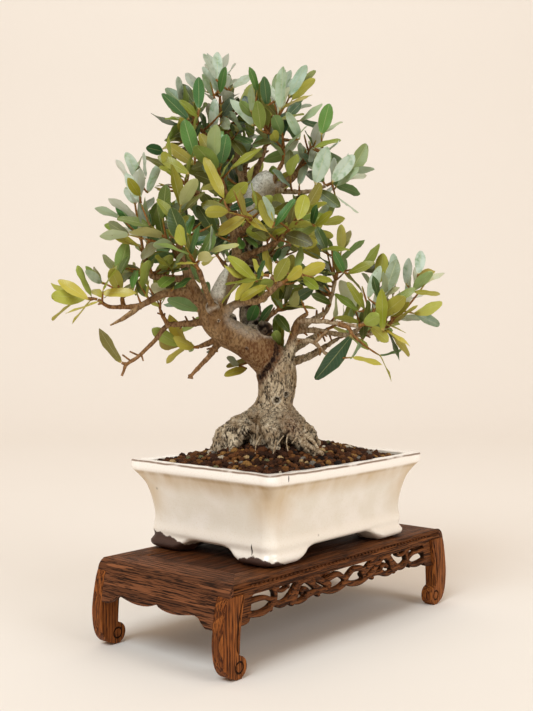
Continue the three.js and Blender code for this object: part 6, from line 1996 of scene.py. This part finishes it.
def leafMaterial():
    material, shader, place = newMaterial("olive_leaf")
    along, across = attribute("along"), attribute("across")
    yellow, silver = attribute("yellow"), attribute("silver")
    shade = attribute("shade")
    under = between(attribute("under"), 0.49, 0.51)
    mottle = clouded(place, 160.0, 4.0)
    fine = clouded(place, 1500.0, 2.0)
    top = ramp(yellow,
               [(0.0, "2c6638"), (0.25, "5f8c3c"), (0.5, "8b9c32"), (0.75, "a8a234"), (1.0, "c0b24c")])
    shade = shade * (1.0 - silver * 0.6)
    top = blend(shade * 0.85, top, "102004")
    bloom = between(silver, 0.3, 1.0) * between(mottle, 0.1, 0.6)
    top = blend(bloom * 0.85, top, "c8d4cc")
    low = ramp(yellow, [(0.0, "84ae78"), (0.35, "a0ba5c"), (0.7, "c0c050"), (1.0, "d8cb52")])
    low = blend(shade * 0.55, low, "4c6026")
    low = blend(between(silver, 0.35, 0.9), low, "dbe4dc")
    colour = blend(under, top, low)
    hue = between(mottle, 0.3, 0.7)
    colour = blend(hue * 0.25, colour, "8c9350", "SOFT_LIGHT")
    side = compute("ABSOLUTE", across)
    midrib = between(side, 0.07, 0.02)
    vein = compute("SINE", (along - side * 0.16) * 75.0)
    colour = blend(between(vein, 0.6, 1.0) * 0.04, colour, "c8cf9a")
    colour = blend(midrib * 0.35, colour, "c3c98a")
    colour = blend(between(side, 0.9, 1.0) * 0.35, colour, "a9a95a")
    colour = blend(between(along, 0.08, 0.0), colour, "b39a4c")
    specks = spotted(place, 190.0, -0.08, 0.5)
    colour = blend(specks * 0.6, colour, "4b3d22")
    gloss = blend(under, ramp(mottle, [(0.3, 0.3), (0.7, 0.44)]), grey(0.65))
    height = vein * -0.12 - midrib
    height = height + fine * 0.35
    dress(shader, colour, gloss, bump(height, 0.35, 0.5))
    return material


def makeTree():
    barkFinish = barkMaterial()
    makeTrunk(barkFinish)
    print("trunk done")
    shoots = planShoots()
    crown = Crown(shoots)
    crown.clothe(shoots, randomBy(seeds["leaves"]))
    print("leaves of the frame:", len(crown.leaves))
    twigs = poseLeaves(crown, shoots)
    extra = planFillers()
    for shoot in extra:
        crown.addShoot(shoot)
    crown.clothe(extra, randomBy(seeds["fillerLeaves"]), 0.5)
    print("leaves in all:", len(crown.leaves))
    makeBranches(barkFinish, shoots + extra + twigs)
    makeLeaves(leafMaterial(), crown.leaves)
    print("tree done")


# colours and power, and the paper's curve from in front of the stand up behind it, in metres
studio = {"floor": "eae6df", "world": "ffdab6", "worldPower": 0.56, "front": -3.5, "back": 3.2, "top": 5.0,
          "curve": 1.4, "halfWidth": 4.5}


def softbox(name, place, target, size, power, colour):
    light = bpy.data.lights.new(name, "AREA")
    light.shape, light.size, light.size_y = "RECTANGLE", size[0], size[1]
    light.energy, light.color = power, tint(colour)[:3]
    aimed(linked(name, light), Vector(target) - Vector(place)).location = Vector(place)


def makeStudio():
    scene = bpy.context.scene
    scene.view_settings.view_transform = "Standard"
    world = bpy.data.worlds.new("studio")
    scene.world = world
    world.use_nodes = True
    background = world.node_tree.nodes["Background"]
    background.inputs["Color"].default_value = tint(studio["world"])
    background.inputs["Strength"].default_value = studio["worldPower"]
    reach, curve = studio["back"], studio["curve"]
    yaw = math.radians(view["heading"])
    ahead = np.array([math.sin(yaw), math.cos(yaw)])
    right = np.array([ahead[1], -ahead[0]])
    profile = [(studio["front"], 0.0), (reach - curve, 0.0)]
    profile += [(reach - curve + curve * math.sin(a), curve * (1 - math.cos(a)))
                for a in np.linspace(0, math.pi / 2, 17)[1:]]
    profile.append((reach, studio["top"]))
    points = []
    for along, height in profile:
        for side in (-studio["halfWidth"], studio["halfWidth"]):
            spot = ahead * along + right * side
            points.append((spot[0], spot[1], height - 0.0002))
    faces = [(2 * i, 2 * i + 1, 2 * i + 3, 2 * i + 2) for i in range(len(profile) - 1)]
    floor = newPiece("studioSweep", points, faces=faces)
    soften(floor)
    material, shader, _ = newMaterial("paper_sweep")
    for name, value in {"Roughness": 0.9, "Specular IOR Level": 0.1, "Base Color": studio["floor"]}.items():
        feed(shader[name], value)
    floor.data.materials.append(material)
    softbox("keyLight", (-4.2, -0.8, 5.0), (0, 0, 0.25), (3.0, 3.0), 270, "e9f6ff")
    softbox("frontLight", (0.2, -4.6, 2.4), (0, 0, 0.25), (2.6, 2.0), 82, "f1f9ff")
    wash = ahead * 0.6
    goal = ahead * reach
    softbox("sweepLight", (wash[0], wash[1], 4.6), (goal[0], goal[1], 1.6), (2.4, 1.2), 27, "f0f6fc")


groups = {"spots": makeSpots(), "grain": makeGrain()}
makeCamera()
makeStudio()
print("studio done")
makeStand()
makePot(glazeMaterial())
makeNets()
print("pot done")
soilFinish = soilMaterial()
makeSoilBed(soilFinish)
makeGranules(soilFinish)
print("soil done")
makeTree()
